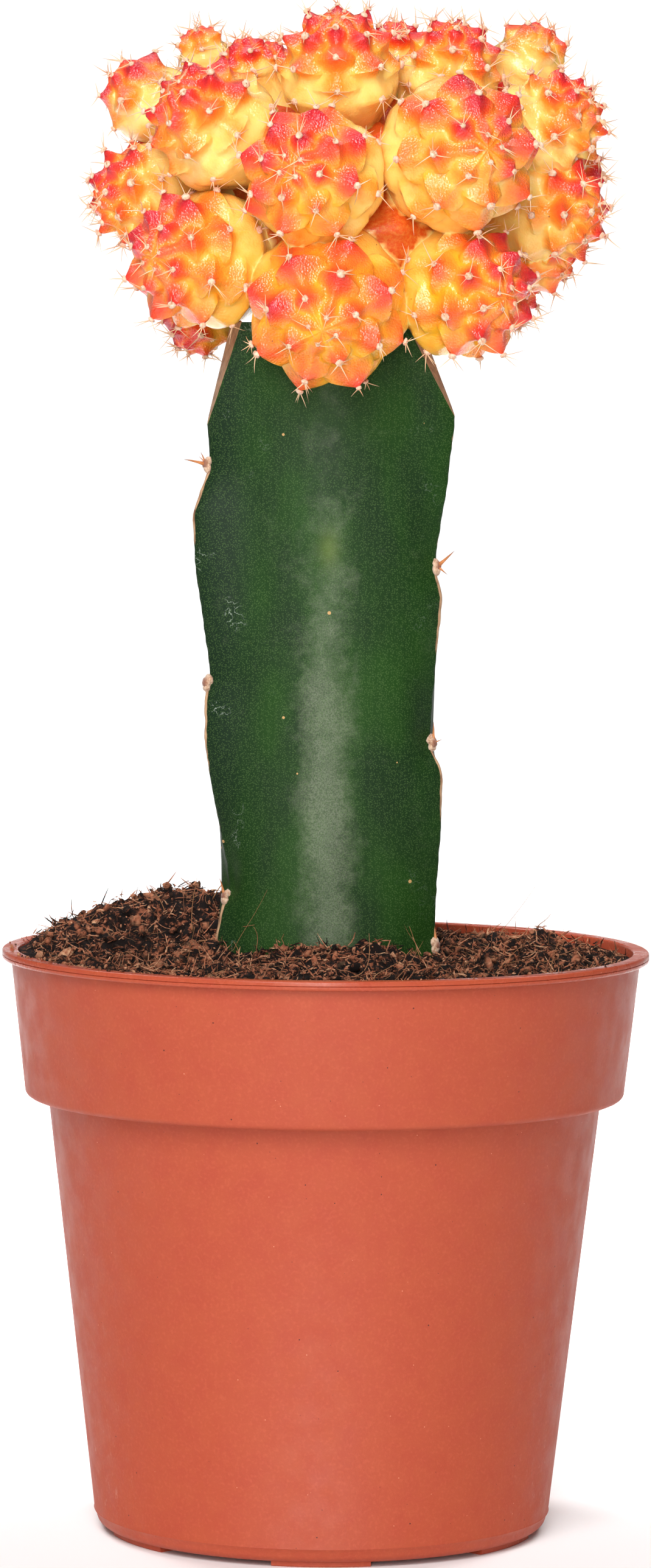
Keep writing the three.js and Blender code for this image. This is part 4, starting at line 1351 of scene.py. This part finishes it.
def head_radius(shape, theta, column):
    """The radius of a head's skin, with its ribs, tubercles and grooves."""
    toward, below = rib_place(shape, theta, column)
    opened = np.minimum(1, RELIEF_OPENING * np.abs(np.sin(theta)))
    fading = 1 - 0.75 * smoothstep(FADE_FROM, FADE_TO, theta)
    flank = 1 - (1 - (np.sqrt(toward**2 + 0.01) - 0.1) / 0.905) ** 1.8
    saddle = TUBERCLE_HEIGHT * (1 - fullness(toward, below)) * (1 - 0.55 * toward)
    seam = SEAM_DEPTH * np.exp(-(((1 - toward) / SEAM_WIDTH) ** 2))
    dimple = DIMPLE_DEPTH * np.exp(-((theta / DIMPLE_REACH) ** 2))
    relief = opened * (fading * (GROOVE_DEPTH * flank + saddle) + seam)
    return plain_radius(shape, theta) * (1 - relief - dimple)


def placed(shape, theta, column, radius):
    """Points of a head in the plant's frame."""
    turn = shape["twist"] + 2 * np.pi * column / shape["ribs"]
    local = polar(radius * np.sin(theta), turn, radius * np.cos(theta))
    return local @ shape["turn"].T + shape["at"]


# %% [markdown]
# ### Where a head reddens
#
# Young skin is pale yellow. It turns golden in the hollows and on the lower heads, and
# orange, coral and at last crimson where the sun reaches it, first of all round the areoles.
# Vertex painting would do for one head. For 35 of them a rule reads each point's place on its
# rib and the way it faces, and clouds of noise keep the heads from looking alike.

# %% Colour of one head
CLOUD_SIZE, PATCH_SIZE, CLOUD_SEED, PATCH_SHIFT = 4.5, 2.2, 3.0, 40
SUN_FROM, SUN_LIFT = (1.0, 0.45, 1.0), (0, 0, 0.75)  # the crown and the sides get most sun
TIP_REACH, CORE_REACH = 2.1, 0.8  # millimetres round an areole
LOW_FROM, LOW_TO = 156, 186  # heights over which the heads turn from golden to pale
SIDE_FROM, SIDE_TO = 8, 26  # how far aside the heads are pale again
HIDDEN_FROM, HIDDEN_TO = math.radians(70), math.radians(104)
OPEN_FROM, OPEN_TO = math.radians(6), math.radians(30)


def head_colour(shape, theta, column, points):
    """How red and how golden the skin is: red where the sun reached, gold in the hollows."""
    def cloudy(at, size):
        return lumps(at.reshape(-1, 3), size, CLOUD_SEED).reshape(theta.shape)

    toward, below = rib_place(shape, theta, column)
    facing = unit(points - shape["at"])
    outward = unit(points - SCION_CENTRE) * SUN_FROM + SUN_LIFT
    cloud, patchy = cloudy(points, CLOUD_SIZE), 0.5 + 0.5 * cloudy(points + PATCH_SHIFT, PATCH_SIZE)
    sun = smoothstep(-0.4, 1.2, (facing * outward).sum(-1) + shape["ripeness"] + 0.35 * cloud)
    aside = toward * np.pi * np.sin(theta) * shape["r"] / shape["ribs"]
    along = below * shape["pitch"] * shape["r"]
    tip, core = (np.exp(-(aside**2 + along**2) / r**2) for r in (TIP_REACH, CORE_REACH))
    rib = 1 - 0.6 * smoothstep(0.3, 1.0, toward)
    hidden = smoothstep(HIDDEN_FROM, HIDDEN_TO, theta)
    opened = smoothstep(OPEN_FROM, OPEN_TO, theta)
    low = 1 - smoothstep(LOW_FROM, LOW_TO, points[..., 2])
    warm = 0.09 + 0.16 * low + 0.16 * sun + 0.42 * sun**3
    red = rib * warm + tip * (0.14 + 0.3 * sun + 0.3 * patchy) + 0.2 * core
    red = red + 0.18 * cloud + 0.04 * low
    red = red * (0.6 + 0.4 * opened) * (1 - 0.75 * hidden)
    hollow = smoothstep(0.3, 1, toward)
    gold = 0.5 + 0.5 * low + 0.4 * (1 - opened) + 0.25 * hollow * (1 - hidden)
    outside = smoothstep(SIDE_FROM, SIDE_TO, np.abs(points[..., 0] - SCION_CENTRE[0]))
    gold = (gold - 0.15 * hidden) * (1 - 0.4 * outside)
    return np.clip(red, 0, 1.4), np.clip(gold, 0, 1)


# %% [markdown]
# ### Glossy skin with light inside
#
# The skin has no chlorophyll. It is a waxy, slightly wet-looking cuticle over pale flesh,
# so light enters it and glows in the hollows, which subsurface scattering gives. Papillae
# about a quarter of a millimetre apart break its highlights into strings of beads, and those
# are a bump. The mesh stores how red and how golden each point is, from the rule above.

# %% Skin finish
SKIN_PALE, SKIN_GOLD, SKIN_FLECK = colour(255, 229, 144), colour(255, 182, 30), colour(120, 60, 34)
RIPENING = (  # between which reds each colour takes over from the one before
    (0.0, 0.42, colour(255, 150, 42)), (0.3, 0.78, colour(252, 104, 42)),
    (0.62, 1.1, colour(234, 58, 38)), (1.0, 1.4, colour(204, 32, 46)),
)
MOTHER_FOLD, MOTHER_SKIN = colour(150, 60, 30), colour(206, 84, 24)


def scion_finish():
    skin = Finish(
        "scion_skin", Roughness=0.44, IOR=1.42, Specular_IOR_Level=0.3, Coat_Roughness=0.1,
        Subsurface_Weight=0.42, Subsurface_Radius=(1.0, 0.42, 0.16), Subsurface_Scale=0.0016,
    )
    wander = skin.times(skin.math("SUBTRACT", skin.noise(2.4, 4), 0.5), 0.5)
    red = skin.plus(skin.value("red"), wander)
    tone = skin.mix(skin.plus(skin.value("gold"), wander, clamp=True), SKIN_PALE, SKIN_GOLD)
    for low, high, tint in RIPENING:
        tone = skin.mix(skin.between(red, low, high), tone, tint)
    wrinkle = skin.between(skin.noise(0.5, 4, 0.7), 0.25, 0.8, 0.7, 1.2)
    bare = skin.times(skin.value("mother"), wrinkle, clamp=True)
    tone = skin.mix(bare, tone, skin.mix(wrinkle, MOTHER_FOLD, MOTHER_SKIN))
    tone = skin.mix(skin.math("LESS_THAN", skin.cells(2.9), 0.03), tone, SKIN_FLECK)
    beads = skin.math("SUBTRACT", 1.0, skin.cells(0.27))
    ripe = skin.between(red, -0.05, 0.5, 0.25, 1.0)
    papillae = skin.bump(skin.times(beads, ripe), 0.13, 0.75)
    leather = skin.bump(skin.noise(1.1), 0.08, 0.4, normal=papillae)
    wax = skin.math("SUBTRACT", 0.95, skin.times(skin.value("mother"), 0.9))
    skin.set(Base_Color=tone, Normal=leather, Coat_Normal=leather, Coat_Weight=wax)
    return skin.material


# %% Grow the heads
FRONT_GRID, REAR_GRID, SMALL_GRID, MOTHER_GRID = (46, 5), (38, 4), (34, 5), (48, 5)  # rows, steps
FIRST_ROW, LAST_ROW, NECK_STEPS = math.radians(3), math.radians(122), 4
UNEVEN, UNEVEN_SIZE, TOP_DIP = 0.018, 2.6, 0.93


def rib_columns(shape, theta, steps):
    """Places round a head at an angle from its top. Every crest and groove has its own
    line of points, so that neither looks jagged."""
    share = np.arange(steps) / steps
    columns = []
    for rib in range(shape["ribs"]):
        groove = groove_column(shape, theta, rib)[:, None]
        columns += [rib + (groove - rib) * share, groove + (rib + 1 - groove) * share]
    return np.hstack(columns)


def grow_head(shape, root, grid):
    """A closed head that narrows to its root, with how red and golden its points are."""
    rows, steps = grid
    angles = np.linspace(FIRST_ROW, LAST_ROW, rows)
    column = rib_columns(shape, angles, steps)
    theta = np.broadcast_to(angles[:, None], column.shape)
    radius = head_radius(shape, theta, column)
    points = placed(shape, theta, column, radius)
    uneven = lumps(points.reshape(-1, 3), UNEVEN_SIZE, shape["r"]).reshape(theta.shape)
    points = placed(shape, theta, column, radius * (1 + UNEVEN * uneven))
    share = np.linspace(0, 1, NECK_STEPS + 1)[1:-1, None, None]
    rings = np.concatenate((points, points[-1][None] * (1 - share) + root * share))
    top = placed(shape, np.zeros(1), np.zeros(1), plain_radius(shape, np.zeros(1)) * TOP_DIP)
    colours = [
        np.concatenate((tint.ravel(), np.tile(tint[-1], NECK_STEPS - 1), (tint[0].mean(), at_root)))
        for tint, at_root in zip(head_colour(shape, theta, column, points), (0, 1))
    ]
    faces = closed_faces(len(rings), column.shape[1], downward=True)
    return np.vstack((rings.reshape(-1, 3), top, root[None])), faces, *colours


# %% Join the heads
def head_object(shape, root, grid, is_mother=0.0):
    """A head with the values that its colours follow from."""
    points, faces, *values = grow_head(shape, root, grid)
    made = plain_object("head", points, faces)
    for name, stored in zip(("red", "gold", "mother"), (*values, np.full(len(points), is_mother))):
        set_value(made, name, stored)
    return made


def head_grid(shape):
    """How many rows and steps of points a head gets: fewer at the back."""
    if shape["at"][1] > SCION_RADIUS / 2:
        return REAR_GRID
    return SMALL_GRID if shape["r"] < SMALL_HEAD else FRONT_GRID


def grow_scion():
    """Joins all heads to the mother body, as one closed skin."""
    root = np.array((*SCION_CENTRE[:2], STOCK_TOP))
    body = head_object(mother, root, MOTHER_GRID, 1.0)
    bpy.context.scene.collection.objects.link(body)
    grown = []
    for shape in offsets:
        neck = SCION_CENTRE + (shape["at"] - SCION_CENTRE) * NECK_DEPTH
        grown.append(head_object(shape, neck, head_grid(shape)))
    body.name, body.data.name = "scion_skin", "scion_skin"
    combine(body, grown, "UNION")
    body.data.materials.clear()
    set_smooth(body.data)
    dress(body, scion_finish())
    body.data.set_sharp_from_angle(angle=math.radians(60))
    print("triangles:", sum(len(face.vertices) - 2 for face in body.data.polygons))


grow_scion()

# %% [markdown]
# ### Areoles and spines of the scion
#
# The wool pads are cream felt, up to about a millimetre wide. Each sends out a star of two
# to five thin spines up to 3 mm long, cream at the root and now and then brown at the tip.
# Pads that would lie inside a neighbouring head are left out.

# %% Where the areoles are
AREOLE_ROWS, LAST_AREOLE, AREOLE_SINK = 8, math.radians(118), 0.1


def inside_head(shape, points, share=0.96):
    """Which points lie inside a head."""
    local = (points - shape["at"]) @ shape["turn"]
    distance = np.linalg.norm(local, axis=1)
    theta = np.arccos(np.clip(local[:, 2] / np.maximum(distance, 1e-9), -1, 1))
    return distance < share * plain_radius(shape, theta)


def find_areoles():
    """The seats, normals and sizes of the wool pads that aren't inside other heads."""
    seats, normals, sizes = [], [], []
    for shape in offsets:
        for rib in range(shape["ribs"]):
            theta = shape["first"] + shape["pitch"] * np.arange(rib % 2, AREOLE_ROWS, 2)
            theta = theta[theta < LAST_AREOLE]
            column = np.full(len(theta), float(rib))
            radius = head_radius(shape, theta, column)
            points = placed(shape, theta, column, radius - AREOLE_SINK)
            free = ~in_stock(*points.T, 0.3) | (points[:, 2] > STOCK_TOP)
            for other in (*offsets, mother):
                if other is not shape:
                    free &= ~inside_head(other, points)
            seats.append(points[free])
            normals.append(unit(points - shape["at"])[free])
            grown = 0.32 + 0.16 * smoothstep(0.1, 0.7, theta)
            sizes.append((grown * min(1.0, 0.55 + shape["r"] / 16))[free])
    return np.vstack(seats), np.vstack(normals), np.concatenate(sizes)


seats, normals, sizes = find_areoles()
print(len(seats), "areoles")

# %% Wool and spines
WOOL_RINGS, WOOL_SIDES, HAIR_SIDES = 3, 8, 4
HAIR_TAPER, HAIR_TIPS, BROWN_SHARE = (0.085, 0.07, 0.045, 0.01), (0.0, 0.15, 0.6, 1.0), 0.2


def scion_areoles():
    draw = np.random.default_rng(3)
    wide = sizes * draw.uniform(0.85, 1.2, len(seats))
    tints = colour(250, 220, 192), colour(226, 158, 120), colour(150, 90, 60)
    domes = pads(seats, normals, wide, draw, WOOL_RINGS, WOOL_SIDES)
    add_piece("scion_wool", *domes, felt_finish("scion_wool", *tints))
    each = draw.integers(2, 6, len(seats))
    roots, out = np.repeat(seats, each, axis=0), np.repeat(normals, each, axis=0)
    spread = draw.normal(size=out.shape)
    spread = unit(spread - (spread * out).sum(1, keepdims=True) * out)
    ways = unit(spread + out * draw.uniform(0.25, 1.3, (len(out), 1)))
    lengths = draw.uniform(1.5, 3.4, len(out)) * np.repeat(0.6 + 0.65 * sizes, each)
    paths = spine_paths(roots + 0.1 * out, ways, lengths, draw.normal(0, 0.07, out.shape))
    thick = draw.uniform(0.75, 1.15, (len(out), 1))
    cream = spine_finish("scion_spines", colour(240, 200, 158), colour(120, 70, 46))
    tubes = strands(paths, np.array(HAIR_TAPER) * thick, HAIR_SIDES)
    spines = add_piece("scion_spines", *tubes, cream)
    brown = (draw.random(len(out)) < BROWN_SHARE) * draw.uniform(0.4, 0.9, len(out))
    tip = brown[:, None] * np.array(HAIR_TIPS)
    set_value(spines, "tip", np.repeat(tip.ravel(), HAIR_SIDES))


scion_areoles()

# %% [markdown]
# ## The ground
#
# The plant stands on a plain pale ground that curves up behind it, so that no horizon shows.
# The curve ends low, so that a view from behind looks over it. The ground is part of the picture
# and not of the plant.

# %% Ground
GROUND_REACH, GROUND_BACK, GROUND_BEND, BEND_STEPS = 2600, 1250, 350, 13
PAPER = (0.95, 0.95, 0.95, 1)


def lay_ground():
    across = np.linspace(-GROUND_REACH, GROUND_REACH, 3)
    bend = [
        (GROUND_BACK + GROUND_BEND * math.sin(a), GROUND_BEND * (1 - math.cos(a)))
        for a in np.radians(np.linspace(0, 90, BEND_STEPS))
    ]
    profile = [(-GROUND_REACH, 0), *bend]
    points = [(x, y, z) for y, z in profile for x in across]
    faces = ring_faces(len(profile), len(across), closed_row=False)
    ground = shown("ground", mesh_of("ground", points, faces))
    set_smooth(ground.data)
    paper = Finish("paper", Roughness=0.9, Specular_IOR_Level=0.1)
    paper.set(Base_Color=PAPER)
    ground.data.materials.append(paper.material)


lay_ground()
